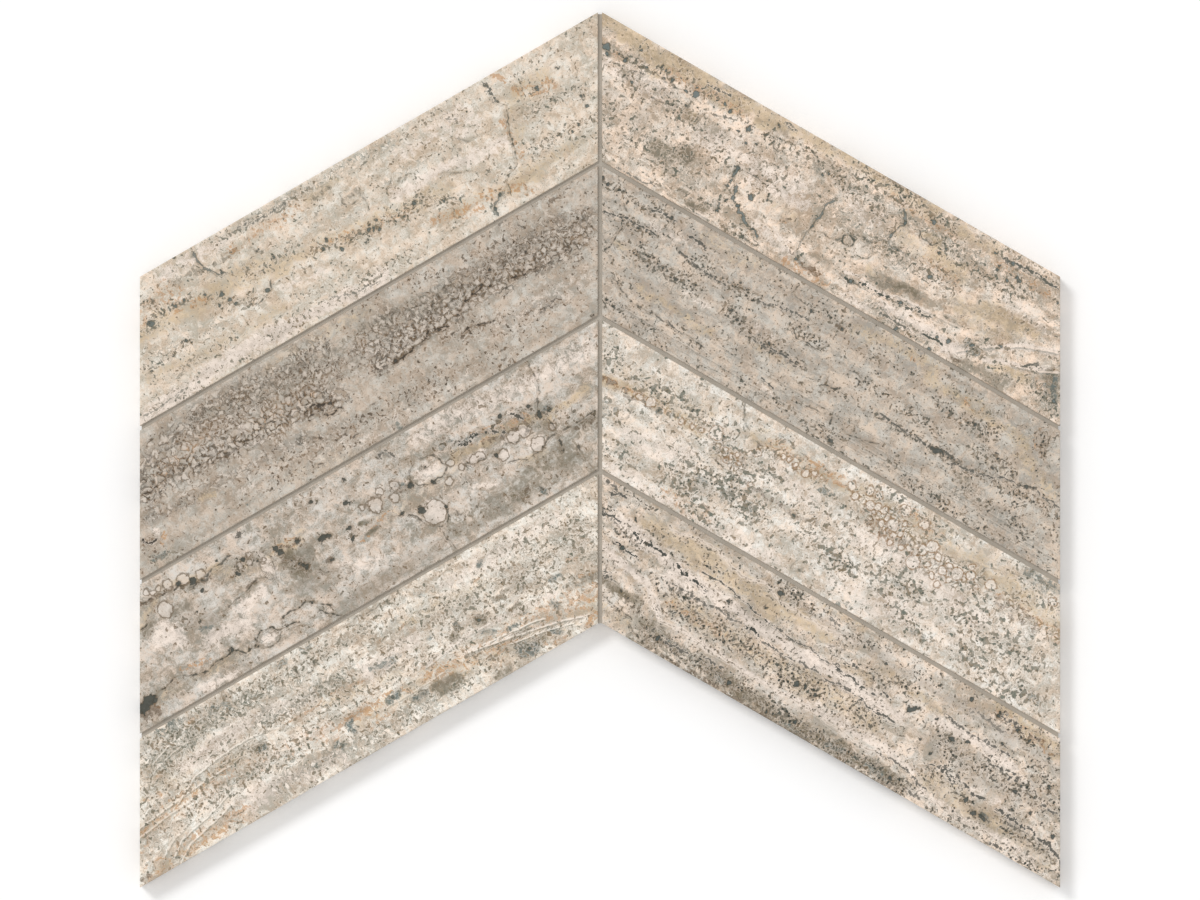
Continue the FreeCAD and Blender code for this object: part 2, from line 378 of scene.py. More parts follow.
            (0.6, 3, (-30, 3), (-24, -1)), (0.6, 2, (-12, 2), (-5, 0)),
            (0.4, 4, (-30, 15), (-8, 19)), (0.7, 2.5, (38, 9), (66, 7)),
            (0.6, 2.5, (66, 4), (84, 1)), (0.6, 2, (76, -3), (86, -5)),
            (0.5, 3, (32, 12), (40, 12)), (0.4, 3, (-64, 2), (-72, 4)),
            (0.6, 2.5, (47, -15), (54, -17)), (0.3, 5, (20, -14), (70, -18)),
            (0.4, 3, (36, -3), (48, -4)), (0.5, 2.5, (8, 8), (18, 7)),
            (0.4, 3, (-22, -8), (-10, -16)), (0.5, 2, (-100, -20), (-94, -19)),
        ],
        "curds": [
            (0.5, 2, (-46, 11), (-38, 10)), (0.4, 3, (40, 3), (70, 1)),
            (0.3, 3, (-62, -15), (-38, -15)), (0.3, 3, (28, -4), (38, -1)),
        ],
        "crack": [
            (0.7, 0.3, (75, 21.5), (74.2, 16), (73.2, 10.7), (70.8, 7.8), (70, 6)),
            (0.9, 0.3, (71.6, 1.7), (71.3, -3.5), (70.3, -6.7), (70.5, -10.9)),
            (0.8, 0.35, (75.8, -12), (75.3, -16.2), (76.3, -21.9)),
            (0.8, 0.25, (52.6, -4.6), (55.3, -5.4), (58.4, -6.7), (61.6, -7.2), (64.7, -6.7),
             (67.9, -4.6)), (0.7, 0.25, (67.9, -4.6), (73.7, -4.6), (86.3, -4.4)),
            (0.9, 0.3, (-92, -13.5), (-88, -13), (-84.2, -11.4), (-82, -11.3), (-79, -13),
             (-73.2, -14.6)),
            (0.9, 0.35, (-73.2, -14.6), (-68.4, -14), (-61, -13), (-60, -14), (-57.9, -16.2),
             (-53.7, -15.6)),
            (1, 0.35, (-53.7, -15.6), (-52.4, -13.5), (-50, -12.8), (-45.3, -13.5), (-43.4, -15.6),
             (-40.5, -15), (-37.4, -16.2)),
            (0.7, 0.3, (-44, -16.5), (-47, -18.5), (-51.5, -18.3), (-53.5, -16)),
            (0.9, 0.35, (-42, -13.5), (-41.6, -12.2), (-36.8, -11.7), (-31.6, -11.7),
             (-28.4, -13.5), (-24.2, -16.7)),
            (0.9, 0.35, (-28, -16.2), (-26.3, -18.8), (-24.2, -20.9), (-22.6, -22)),
            (0.8, 0.35, (-80, 16), (-70.5, 14.9), (-66.3, 14.9), (-63.7, 13), (-60, 12.8),
             (-56.3, 12)), (0.8, 0.35, (-56.3, 12), (-54.7, 13.8), (-52.6, 14.6), (-46.3, 14.9)),
            (0.9, 0.35, (-84.5, 8.8), (-82, 9)),
            (0.7, 0.3, (-56.3, -0.6), (-52.6, 0.7), (-48.4, 1.7), (-45.3, 3), (-42, 3.3),
             (-39.5, 2.8), (-36.8, 0.7), (-34.7, -0.1)),
            (0.5, 0.3, (-38.6, 9.5), (-38.3, 5), (-36, 0.5), (-34.5, 4), (-34.6, 9),
             (-36.4, 11.2)),
            (0.8, 0.3, (19.8, 6.5), (22, 3.8), (26.6, 2.4), (31, 2.4), (33.2, 4.6), (32.4, 8.4),
             (29.5, 11.2)), (0.5, 0.3, (29.5, 11.2), (25, 11.4), (21, 9.6), (19.8, 6.5)),
            (0.7, 0.3, (40, 1.6), (42, 0.8), (46, 0.7)),
            (0.6, 0.3, (54.5, 1), (58, 0.2), (62, 0.2), (64.5, 1.6)),
            (0.8, 0.3, (11, -1.6), (14.7, -3.5), (16.3, -5.6), (17.9, -9.3), (21, -12),
             (24.2, -12), (25.8, -9.8), (26.3, -7.7)), (0.6, 0.3, (27.5, -9), (29.8, -13)),
            (0.7, 0.3, (21, -14.6), (21, -17.7), (22, -21.4)),
            (0.6, 0.25, (56.6, -16.5), (57.5, -18.5)), (0.6, 0.3, (-21.5, -4.4), (-19.7, -6.2)),
            (0.5, 0.3, (60.5, 0), (66, 4), (63, 6.5)),
            (0.5, 0.25, (25.6, 8.6), (26.6, 7.6), (27.6, 8.8), (26.8, 6.8)),
        ],
        "row": [
            (1, 0.6, (40.5, 9.1), (43, 8.8), (46.8, 8.8)), (0.9, 0.4, (53.2, 7), (56.3, 4.4)),
            (0.9, 0.4, (61, 9.6), (63.2, 6)), (0.8, 0.4, (15.3, 19.5), (15.5, 17.5)),
            (0.8, 0.45, (17.4, 19.5), (19, 17)), (0.8, 0.4, (-41, 19.9), (-38.5, 19.9)),
            (0.8, 0.35, (-56.6, 13.4), (-55, 13.9)),
        ],
        "beads": [
            (-74, 10.2, 2.6), (-77, 18.8, 0.9), (-75.2, 17.4, 0.8), (-72.9, 17.6, 0.9),
            (-69.2, 17.2, 1.7), (-63.5, 16.2, 2), (-58, 14.7, 1.5), (5.6, 5.4, 2.5),
            (12.4, 4.3, 1.4), (14.5, 8, 1.5), (31.5, -0.4, 1.4), (37.9, 2, 1.1), (-45, 10.5, 0.9),
            (-41.5, 10, 0.8), (-40, 12, 0.8), (-37, 8, 0.7), (22, -7, 3.9), (51.8, -1.5, 1.7),
            (64, -4.4, 2.3), (42.4, 1.9, 1.4), (45, 1.8, 1.5), (58, 2, 2), (62, 2, 2), (9, 8.6, 1),
            (1.4, 7, 1), (35, 5, 1.2), (71.4, -1.6, 1.1),
        ],
        "spots": [
            (-16.4, 4.2, 0.9), (-15, 4.4, 1.1), (-13.6, 4.4, 0.9), (-60, 9.3, 0.7),
            (-71.3, 17.2, 0.4), (-66, 15.8, 0.9), (-60.8, 13.9, 1.2), (-50.8, 15.8, 0.5),
            (-42.7, 11.7, 0.9), (-46.8, 8.7, 0.8), (-43.4, 9.3, 0.4), (-38.7, 9.1, 0.4),
            (-31, 9.6, 1), (-30.3, 7.3, 1.1), (-23.4, 7.9, 1), (-26.8, 7.5, 0.4), (-26.3, 0.2, 1),
            (-25.2, -1.2, 1), (-28.5, 3.4, 0.6), (-65.8, 4.4, 0.4), (-66, 0.4, 0.4),
            (-17, -3, 0.8), (-6, 3.3, 0.7), (-2.1, 2.3, 0.6), (-6.6, -0.6, 0.8), (-2.6, 11.2, 0.8),
            (-1.6, 10.4, 0.7), (-12.9, 17.5, 0.6), (19.5, 5.2, 1.2), (18.3, -3.9, 1.4),
            (11.6, -1.8, 0.9), (26.3, -7.2, 0.7), (49.3, -0.5, 0.9), (57.4, 10.2, 0.9),
            (67.7, 8.5, 0.8), (69.3, 4.1, 1.3), (73.1, 4, 1), (26.6, 2.3, 0.8), (26.8, 8, 0.7),
            (0.5, 18.3, 0.5), (-61.3, -13, 0.9), (-53.2, -16.3, 0.5), (-52.4, -13.6, 0.5),
            (-29.2, -12.5, 0.7), (-78, -12.5, 0.5), (-94, -13.8, 1.9), (-96.5, -14.6, 2.1),
            (-92.2, -13.6, 1.1), (-97.4, -16, 1.6), (20.3, 15, 0.3), (50.8, 8.2, 0.4),
        ],
    },
    "left_tile_4": {
        "seed": 41,
        "body": ((185, 171, 154), (255, 244, 231)),
        "speck": (103, 106, 91),
        "clouds": 3.2,
        "cool_glow": 1.06,
        "streaks": 0.8,
        "specks": 0.55,
        "speck_size": 1.5,
        "slate": 0.5,
        "dots": 0.15,
        "chains": 0.3,
        "beds": [
            [(-103, -9), (-77, -3), (-57, 3), (-37, 2), (0, 1), (35, 0), (70, -3), (103, -7)],
            [(-103, -26), (-82, -15), (-60, -10), (-30, -9), (0, -9), (28, -8), (50, -12),
             (85, -20)], [(-90, 12), (-60, 18), (-20, 19), (20, 19), (60, 15), (100, 8)],
        ],
        "grey": [
            (0.5, 6, (-75, 17), (-45, 16)), (0.4, 5, (30, 5), (60, 4)), (0.5, 4, (60, 6), (88, 3)),
        ],
        "tan": [
            (0.5, 3, (-95, -6), (-70, -3), (-50, 0)), (0.5, 3, (-15, 1), (10, -2)),
            (0.5, 4, (-10, -11), (25, -10)), (0.5, 5, (30, -12), (80, -17)),
            (0.5, 3, (-95, -20), (-70, -18)), (0.4, 4, (-88, 3), (-75, 5)),
            (0.4, 5, (20, 12), (50, 10)),
        ],
        "pale": [
            (0.7, 4, (-70, 7), (-45, 8), (-20, 6)), (0.7, 3.5, (0, 3), (20, 3)),
            (0.5, 4, (-45, -7), (-20, -7)), (0.6, 5, (40, 16), (80, 15)),
            (0.7, 1.2, (33, -8), (51, -11.5), (67, -15), (75, -18)),
            (0.7, 1.2, (20, -5), (35, -3.5), (46, -3.5), (70, -6)),
            (0.4, 4, (-75, -6), (-50, -14)), (0.7, 4, (-54, -16), (-20, -17)),
        ],
        "olive": [
            (0.7, 4, (-70, 18), (-40, 16)), (0.5, 3, (-20, 16), (-8, 15)),
            (0.8, 2.5, (45, -14), (58, -16)), (0.7, 2.6, (76, -7), (88, -7.4)),
            (0.3, 2, (-38, -21), (-35, -21)), (0.5, 2.4, (50, 3), (62, 2)),
            (0.6, 1.6, (-84, 5), (-79, 5.6)), (0.6, 0.9, (-76, -0.6), (-60, 1), (-48, 1.4)),
            (0.6, 1, (-96, -9), (-86, -8.4)), (0.6, 1.6, (38, -20), (43, -20.6)),
            (0.6, 1.2, (-20, -13), (-26, -14)), (0.5, 1.6, (22, -4.6), (26, -5)),
        ],
        "brown": [
            (1, 1, (-44, -1), (-42, -1)), (1, 1.2, (41.8, -0.5), (43.6, -0.3)),
            (0.9, 1, (31, -2), (34, -1.3)), (0.8, 1, (52.6, 2), (54, 1)),
            (0.7, 0.8, (54, -3), (58, -3)), (0.9, 0.9, (50, -11.6), (53, -12.6), (56, -12.2)),
            (0.8, 0.6, (48, -14.5), (49, -19)), (0.8, 0.6, (56, -15), (56, -19)),
            (0.7, 1, (60, -15), (64, -17)), (0.6, 1, (-100, -20), (-96, -19)),
            (0.6, 0.6, (-66, 15), (-58, 16.6)), (0.6, 0.6, (33, -9.4), (40, -10)),
        ],
        "teal": [
            (0.9, 2.2, (-70, 20), (-63, 20)), (0.7, 1.6, (-52, 18), (-34, 15)),
            (1, 1.6, (-45, -1), (-42.4, -1.6)), (0.7, 1, (-68, -1), (-66, -1)),
            (1, 1.6, (3, -9.2), (6, -8.6)), (1, 1.6, (-13.5, -9.5), (-12.5, -12)),
            (1, 1.6, (-19, -14.3)), (0.8, 1.1, (11, -13.4), (14.3, -13)),
            (0.8, 1.6, (4, 2.6), (11, 2.6)), (1, 1, (35.4, 1.2)),
            (0.8, 1.4, (-26, 20.8), (-22, 20.4)), (0.8, 1.2, (-15, 20.4), (-12, 20)),
            (0.7, 1.2, (-62, 11)), (0.6, 1.4, (53, 16)), (0.7, 1.3, (68, -9)),
            (0.6, 1, (86, -12), (90, -13)), (0.7, 1, (43, -5), (45, -7)),
            (0.6, 1, (51, -8.6), (54, -8.8)), (0.6, 1.1, (71, -1.4), (74, -1.6)),
            (0.6, 1, (-88, -19.6), (-86, -20.6)), (0.6, 1, (-30, -16), (-27, -16.6)),
            (0.6, 1, (80, 15), (81, 14)), (0.5, 0.9, (-81, 17), (-75, 17)),
        ],
        "smudge": [
            (1, 3.3, (20.6, -14), (24.6, -15)), (0.9, 1.5, (31.5, -1.8), (34, -1)),
            (1, 1.7, (42, -0.2), (44, -0.8)), (0.9, 1.2, (52.6, 2.4), (54.2, 1.2)),
            (0.8, 0.9, (53, -3.4), (58, -2.8)), (0.7, 2.1, (39, -19.5), (43, -20.6)),
            (0.7, 2.7, (-44.6, -0.8), (-42, -1.4)), (0.5, 2.4, (-84, 5), (-79, 5.6)),
            (0.8, 0.9, (50, -11.4), (56, -12.2)), (0.6, 0.6, (33, -9.8), (47, -11.4)),
            (0.6, 1.2, (39, -14), (42, -15)), (0.5, 3.3, (58, -17), (54, -18)),
            (0.5, 2.1, (86, 0), (90, -2)), (0.4, 2.7, (-40, 18.4), (-30, 17)),
            (0.4, 2.4, (-76, 19), (-66, 19)),
        ],
        "blot": [
            (1, 2.8, (50.6, -15.8), (53.6, -17.8)), (0.8, 1.8, (62.4, -15.6), (64.4, -17.6)),
            (0.9, 1.5, (14.4, -13)), (0.8, 1.4, (11, -13.4)), (0.8, 1.8, (35.8, 1.4)),
            (0.7, 1.5, (52.8, 15.4), (53.4, 16.4)), (0.7, 2, (67.4, -8.6), (68.4, -10)),
            (0.5, 1.4, (25, 2.4)), (0.6, 1.2, (42, -5), (45, -7)),
            (0.6, 1.4, (50, -8.8), (53, -9)), (0.7, 1.7, (-43.4, -2), (-42, -2)),
            (0.7, 1.8, (3.4, -9), (6, -8.6)), (0.7, 1.7, (-13, -9.6), (-12.8, -11.6)),
            (0.8, 1.7, (-19.3, -14.3)), (0.6, 1.8, (71, -1), (72.6, -2)), (0.5, 1.2, (62, 2.6)),
            (0.4, 1.5, (57, -6), (59, -6)), (0.4, 1.5, (30, 16.4), (34, 16)),
            (0.5, 1.8, (8, 2.4), (13, 2.8)), (0.5, 1.5, (17, 13), (19, 13.4)),
            (0.4, 1.5, (-68, 20.4), (-62, 20)), (0.5, 1.4, (-52, 18.4), (-49, 18)),
            (0.5, 1.2, (-83, 9.6), (-80, 9.8)), (0.5, 1.2, (78, -8), (79, -10)),
            (0.4, 1.2, (-62, 11.4)), (0.4, 1.2, (-88, -19.6), (-86, -20.4)),
            (0.5, 0.9, (-31, -16), (-27, -16.4)), (0.4, 1.2, (-16, 19.6), (-12, 20)),
        ],
        "rust": [
            (0.35, 6, (20, -10), (84, -13)), (0.3, 5, (-96, -8), (-58, -2)),
            (0.3, 4, (-96, -20), (-60, -16)), (0.25, 7, (-50, -6), (0, -8)),
            (1, 0.6, (-19, -8.6), (-12, -7.4), (-4, -8), (4, -7), (9, -8.2), (11, -11)),
            (1, 0.6, (-8, -14.8), (-3, -13.6), (1.8, -13.2)),
            (0.9, 0.7, (20, -9), (27, -9.5), (30, -8)), (0.9, 0.9, (-86, 3), (-80.7, 2.3)),
            (0.8, 0.5, (-93, -5.4), (-80, -4.4), (-68, -3), (-55, -2.2)),
            (0.8, 0.5, (-96, -8), (-88, -7)), (1, 0.6, (-84, -20.8), (-78, -19.4), (-70, -18.9)),
            (0.8, 0.5, (-66, -17.6), (-60, -16)), (0.7, 0.8, (9, 10), (12, 10)),
            (0.7, 0.6, (18, 10), (20, 10.4)),
            (0.9, 0.4, (-32, 1.6), (-20, 1.2), (-16, 3), (-8, 2.2), (0, 0.5)),
            (1, 1.2, (74, -20.6), (76, -19.4), (78, -18.8)),
            (0.9, 0.6, (58, -18.5), (62, -20.5), (66, -21)), (0.9, 0.6, (61, -14.6), (66, -16)),
            (0.9, 0.5, (33, -6.4), (38, -7)), (0.9, 0.4, (33, -10), (48, -12.3), (60, -14)),
            (0.7, 0.8, (56, -10), (62, -11)), (0.7, 0.6, (80, -5), (88, -6.4)),
            (0.5, 0.8, (78, 2), (82, 1)), (0.7, 0.6, (-12, 19.4), (-8, 19)),
            (0.7, 0.6, (-62, 18), (-58, 18.6)), (0.6, 0.5, (-80, 7.6), (-72, 9)),
            (0.5, 0.6, (-8, 4), (-4, 4.6)), (0.6, 0.5, (48, 11), (50, 11.6)),
        ],
        "pores": [
            (0.5, 5, (-75, 17), (-30, 16)), (0.4, 4, (-20, 17), (20, 17)),
            (0.5, 4, (30, 8), (60, 7), (85, 5)), (0.4, 4, (-75, -8), (-30, -7)),
            (0.5, 4, (40, -16), (60, -18)), (0.4, 4, (-10, -16), (15, -18)),
            (0.4, 4, (60, 16), (90, 12)), (0.3, 9, (-90, 0), (90, 0)),
        ],
        "curds": [
            (0.6, 5, (-80, 14), (-20, 13)), (0.6, 4, (-40, 6), (-5, 7)),
            (0.4, 6, (10, 12), (88, 10)), (0.5, 4, (-65, -9), (-35, -7)),
            (0.5, 5, (-45, -16), (30, -17)),
        ],
        "curd_size": 2.2,
        "seam": [
            (0.7, 0.3, (-77, -3.7), (-67.3, 1.2), (-57.3, 2.9), (-46.2, 3.4), (-37.3, 2.3)),
            (0.6, 0.3, (-93, -4.8), (-75, -2.6), (-56, -1.5)),
            (0.5, 0.3, (-95, -7.6), (-82, -5.8), (-70, -5)),
            (0.65, 0.3, (-87, -19), (-81.8, -15.2), (-71.8, -13), (-65, -11.3), (-59.6, -9.7)),
            (0.6, 0.3, (-86, -21.5), (-80, -17.8), (-70, -15.6), (-62, -13.4)),
            (0.45, 0.3, (-90, -17), (-84, -13.6), (-76, -11.4)),
            (0.7, 0.3, (33.7, -8.7), (51.5, -12), (67, -15.3), (73.7, -17.5)),
            (0.8, 0.25, (40, -9), (56, -10.5), (62, -11.5)),
            (0.7, 0.25, (48, -13.4), (60, -15.4), (70, -18)),
            (0.45, 0.25, (19.3, -6), (34.8, -3.8), (46, -3.8)),
            (0.35, 0.25, (-20, -5), (-5, -4.4), (8, -5.2)),
            (0.35, 0.25, (0, -11), (12, -11), (24, -10.4)), (0.6, 0.25, (84, 9), (90, 5)),
            (0.6, 0.25, (86, 10), (92, 6)), (0.5, 0.25, (-78, 12), (-66, 16), (-56, 17.4)),
            (0.5, 0.25, (-80, 9), (-70, 12), (-64, 12.6)),
        ],
        "crack": [
            (0.7, 0.3, (-20, 15), (-20, 12.8), (-15, 12.3), (-12.9, 13.3), (-12.9, 15.5)),
            (0.5, 0.3, (2, 20), (8, 21), (14, 20), (24, 22)),
            (0.6, 0.3, (13, -12.2), (14.5, -11.6), (15.8, -12.8), (14.6, -14.3), (13, -13.6)),
            (0.6, 0.3, (34, 1.5), (35.5, 2.6), (36.8, 1.4), (35.4, -0.1), (34.1, 0.7)),
            (0.5, 0.3, (-19, 6), (-12, 7), (-8, 5)), (0.5, 0.3, (66, 8), (72, 6.5), (75, 7.5)),
        ],
        "spots": [
            (-43.6, -1.2, 0.7), (42.7, -0.5, 0.8), (53, -18, 0.8), (-19.3, -14.5, 0.6),
            (4.3, -8.9, 0.6), (32.5, -1.6, 0.6),
        ],
    },
    "right_tile_1": {
        "seed": 53,
        "body": ((175, 158, 139), (249, 230, 213)),
        "speck": (86, 95, 84),
        "clouds": 3.2,
        "cool_glow": 0.98,
        "streaks": 0.35,
        "specks": 0.5,
        "speck_size": 1.45,
        "slate": 0.95,
        "dots": 0.2,
        "chains": 0.5,
        "beds": [
            [(-103, 17), (0, 17), (60, 17), (100, 14)],
            [(-103, -14), (10, -14), (40, -10), (60, -9), (75, -4), (95, -1)],
        ],
        "grey": [(0.2, 8, (-88, -6), (-50, -10)), (0.3, 4, (-95, 2), (-75, -2))],
        "tan": [
            (0.9, 4, (-103, 19.5), (-75, 19), (-45, 18)), (0.7, 3, (-45, 19), (-10, 20), (30, 20)),
            (0.8, 2.4, (-38, 17), (-34, 17)), (0.8, 1.4, (-78.5, 12.2), (-75.5, 12)),
            (0.7, 1.8, (-58.3, 7.4), (-57.6, 5.6)), (0.9, 1.5, (30.6, 11.4), (34.8, 11.7)),
            (0.5, 4, (23, 7), (30, 6)), (0.7, 4, (36, 6), (46, 5)), (0.6, 3, (60, 1), (80, 0.5)),
            (0.5, 5, (52, -4), (72, -3)), (0.8, 2.4, (72, -15.5), (84, -13.5)),
            (0.5, 3, (22, 17), (40, 18)), (0.6, 3, (42, 19), (54, 18)),
            (0.5, 2, (18.5, -8), (23, -8.5)), (0.4, 3, (-25, -3), (-10, -6)),
            (0.6, 1.8, (-57, -15.5)),
        ],
        "pale": [
            (0.6, 4, (-92, 8), (-72, 8)), (0.6, 6, (-50, 2), (-15, 4)), (0.5, 5, (0, 8), (15, 7)),
            (0.9, 0.7, (12.6, -13.5), (17.4, -12.4), (22, -13.3), (28.4, -13.2), (32.6, -12.2),
             (36.8, -11.3), (46, -11.3)), (0.8, 3, (30, -16.5), (48, -16), (58, -17.5)),
            (0.7, 2, (17, -20.4), (26, -20.2)),
            (1, 1.3, (60, -17.5), (64.7, -13.5), (71, -9.4), (79, -4.8), (89.5, -1)),
            (0.9, 1.2, (68.4, -15.8), (79, -11.8), (86.8, -9.2), (92.6, -6.6)),
            (0.5, 4, (-20, -14), (-8, -17)), (0.9, 0.5, (-42, -21.4), (-37, -21.2)),
            (0.5, 3, (66, 6), (80, 4)), (0.4, 3, (-30, -2), (-10, -1)),
        ],
        "olive": [
            (0.6, 1.6, (24, -8.5), (40, -8)), (1, 1.2, (22, -11), (31, -10.3)),
            (0.5, 0.8, (49, -9), (54, -9.3)), (1, 3.2, (92, -10), (95, -13)),
            (1, 2.6, (62, -20), (78, -18)), (0.4, 1.6, (-99, -16), (-95, -18)),
        ],
        "brown": [
            (0.6, 1.4, (-6, -16.5), (0, -18), (5, -18.5)), (0.7, 0.7, (-13.5, -7.5), (-12, -6.8)),
            (0.6, 0.7, (10, 21.8), (24, 21.6)), (0.5, 1.4, (91, -12), (98, -18)),
            (0.4, 1.2, (-58, 5.4)), (0.6, 0.6, (-50, -17.3), (-45, -17.2)),
            (0.5, 0.9, (-44, -19.6), (-39, -20)), (0.5, 1, (56, -20.5), (62, -20)),
        ],
        "teal": [
            (0.5, 2.2, (92, -14), (98, -18)), (0.6, 0.8, (60, 17.8), (70, 18.4), (78, 18)),
            (0.5, 1.6, (62, -14), (65, -14)), (0.4, 1.4, (-92, 1), (-91, -1)),
        ],
        "smudge": [
            (1, 4, (-64, -8.6)), (0.9, 3.4, (-56.4, -7.8), (-54.4, -6.4)),
            (0.5, 1.8, (-57.4, -10.4), (-57, -14)), (0.7, 1.8, (-45, -19.4), (-38.4, -18.6)),
            (0.8, 1.5, (31, -8), (38, -7.2)), (0.5, 2.7, (2, -13.2), (6, -13)),
            (0.6, 0.8, (-51.5, -17.2), (-44.5, -16.6)), (0.7, 1.5, (-58, 5.8)),
            (0.6, 1.8, (91, -8), (96, -14)),
        ],
        "blot": [
            (0.8, 2, (61, -12.6), (65, -15)), (0.8, 1.4, (93, -9), (97.4, -16.4)),
            (0.9, 1.2, (-95.6, 12.6), (-93.6, 10.8)), (0.7, 1, (-36.2, -1), (-36.2, -4.4)),
            (0.6, 0.9, (90.6, -11), (94, -17)), (0.7, 0.9, (12.6, -15), (17, -15)),
        ],
        "rust": [
            (0.45, 2.4, (-5.3, -19.3), (2, -18.8), (8, -19.4)),
            (0.7, 1.6, (-74, 15.4), (-44, 16.2)), (0.5, 1.4, (-93, 11), (-90, 11.6)),
            (0.5, 1.6, (12, 17.5), (40, 15.5)), (0.6, 1.6, (56, 15.6), (76, 14.6)),
            (0.4, 1.6, (88, -12), (97, -19)), (0.5, 0.7, (-15, -8), (-12.5, -9)),
            (0.4, 2.5, (36, 4), (48, 2)),
        ],
        "pores": [
            (0.9, 1.6, (-91, 12.6), (-78, 12.8)), (0.8, 1.4, (-76, 15), (-64, 14)),
            (0.5, 2, (-58, 16), (-42, 15.5)), (0.7, 2.2, (-33, 14), (-22, 13)),
            (0.8, 2.6, (-18, 16), (-8, 15), (2, 12), (12, 12)),
            (0.8, 2.6, (0, 19), (20, 18), (38, 18)), (0.6, 3, (-72, 8), (-55, 5)),
            (0.5, 2.5, (-90, 8), (-78, 6)), (0.3, 8, (-88, -6), (-50, -8), (-40, -16)),
            (0.6, 2.5, (36, 12), (50, 10), (60, 9), (70, 11)), (0.8, 2, (57, 19), (78, 18)),
            (0.6, 2.6, (60, 14), (68, 12)), (0.8, 1, (12.6, -14.6), (30, -13.6), (46, -12.4)),
            (0.9, 2.4, (62, -14.5), (66, -13.6)), (0.8, 1, (66, -9.4), (76, -8.6)),
            (0.8, 0.9, (81, -10.6), (87, -8.4)), (0.7, 1.2, (87, -3.6), (92, -3.4)),
            (0.6, 2.4, (90, -15), (98, -19)), (0.5, 4, (22, 2), (48, 1)),
            (0.5, 2, (-32, -20.4), (-18, -20.2)), (0.5, 2, (30, -19.4), (46, -19.4)),
            (0.3, 8, (-60, 2), (-15, 4)),
        ],
        "curds": [
            (0.35, 3, (-90, 9), (-60, 8)), (0.5, 5, (0, 4), (30, 0)),
            (0.45, 3.5, (-30, 12), (20, 14)), (0.5, 4, (30, 13), (72, 13)),
            (0.35, 6, (-88, -8), (-50, -10), (-42, -18)), (0.5, 3, (60, -14), (70, -12)),
            (0.5, 3, (25, -19), (50, -19)), (0.5, 3, (88, -14), (98, -18)),
        ],
        "curd_size": 2.0,
        "seam": [
            (0.6, 0.35, (60, -17.5), (64.7, -13.5), (71, -9.4), (79, -4.8), (89.5, -1)),
            (0.6, 0.35, (79, -12.5), (86.8, -9.9), (92.6, -7.2)),
            (0.7, 0.3, (-53, 11), (-46.6, 12.8)), (0.6, 0.3, (-46, -21.2), (-36, -21)),
            (0.4, 0.3, (33, -11.4), (46, -10.9), (56, -10.4)),
        ],
        "crack": [
            (0.9, 0.3, (6.6, -2.5), (8, -1.4), (10, -2), (10.7, -4), (9, -5.6), (7, -4.8),
             (6.6, -2.5)), (0.7, 0.3, (0, -5.9), (3.2, -5.9), (6.3, -4)),
            (0.8, 0.3, (9, -0.6), (12.6, -0.1), (15.3, -0.4)),
            (0.6, 0.3, (13.6, -3), (14.6, -1.4), (17, -1.4), (18.3, -3.4), (17.4, -5.4), (15, -7)),
            (0.8, 0.3, (-36.8, 12.8), (-31.6, 14.6), (-25.8, 14.9)),
            (0.8, 0.35, (28.2, 11.5), (29.5, 9.7), (33.7, 9.7), (36.3, 11.5), (35.8, 13.6)),
            (0.7, 0.3, (-73.4, 7.5), (-72.1, 10.2), (-68.9, 11.5), (-66.3, 12.3)),
            (0.7, 0.3, (-61.3, 10.2), (-61, 8), (-59.5, 4.9)),
            (0.7, 0.3, (-54.7, 9.1), (-55.5, 5.4)), (0.7, 0.3, (-73, 5.4), (-70, 5.6)),
            (0.7, 0.3, (-87, 8.4), (-84, 5.6)),
            (0.7, 0.3, (-35.6, -0.4), (-30, -0.4), (-25, -0.8)),
            (0.7, 0.3, (-30, -20.3), (-27, -19.4), (-24, -20), (-20, -20.6), (-17, -20)),
            (0.6, 0.3, (-78, 14.4), (-74, 12.6), (-69, 13)),
            (0.6, 0.3, (-38.4, 9), (-37, 5), (-37.6, 2)),
            (0.6, 0.3, (-30, 13.5), (-29.4, 11.4), (-27, 11.2), (-26.4, 13.4), (-28, 14.6)),
            (0.8, 0.35, (46.3, 8.8), (47.6, 9.4), (49.3, 8.3)),
            (0.7, 0.3, (-17, 16.5), (-13.5, 15.6), (-13, 14)),
            (0.5, 0.3, (45, 13), (50, 12), (52, 10.5), (57, 10.6)),
        ],
        "row": [
            (0.9, 0.35, (-58.4, 19), (-55, 18.4), (-51.4, 18.8)),
            (1, 0.4, (12.6, -15.2), (16.3, -15.2), (18.4, -13.8), (22.6, -14), (27.9, -13.8),
             (30, -13)), (0.9, 0.35, (33.7, -12.5), (39, -12.8)),
            (0.9, 0.35, (41, -12), (46.3, -12.5)),
            (1, 0.4, (46.8, -18.5), (49.5, -17.8), (53.2, -18.5)),
            (0.8, 0.35, (31, -19.3), (37.9, -19.6), (43.7, -19.3)),
            (0.9, 0.35, (82, -10.8), (86.3, -8.3)), (0.8, 0.35, (83.6, -9), (85.6, -7.6)),
            (0.9, 0.35, (58, 17.8), (62, 17.8), (66.3, 18.3), (70, 18.6), (78, 18)),
            (0.8, 0.35, (-29, 20.6), (-26, 20.2)), (0.8, 0.35, (-83.6, 10), (-80.6, 10.6)),
            (0.7, 0.35, (-51.5, 11), (-46.6, 12.6)),
            (0.7, 0.35, (-71, -21.6), (-66, -21.3), (-58, -20.6)),
        ],
        "vein": [
            (1, 0.7, (-36, -0.6), (-36.6, -3.5), (-36, -5.6)),
            (1, 0.5, (-33.2, -7.3), (-32.1, -10.9), (-29.5, -11.9), (-28.4, -13.5), (-26.3, -14),
             (-24.2, -16.2)), (1, 0.4, (-24.2, -16.2), (-21, -16.4), (-18.4, -18.3)),
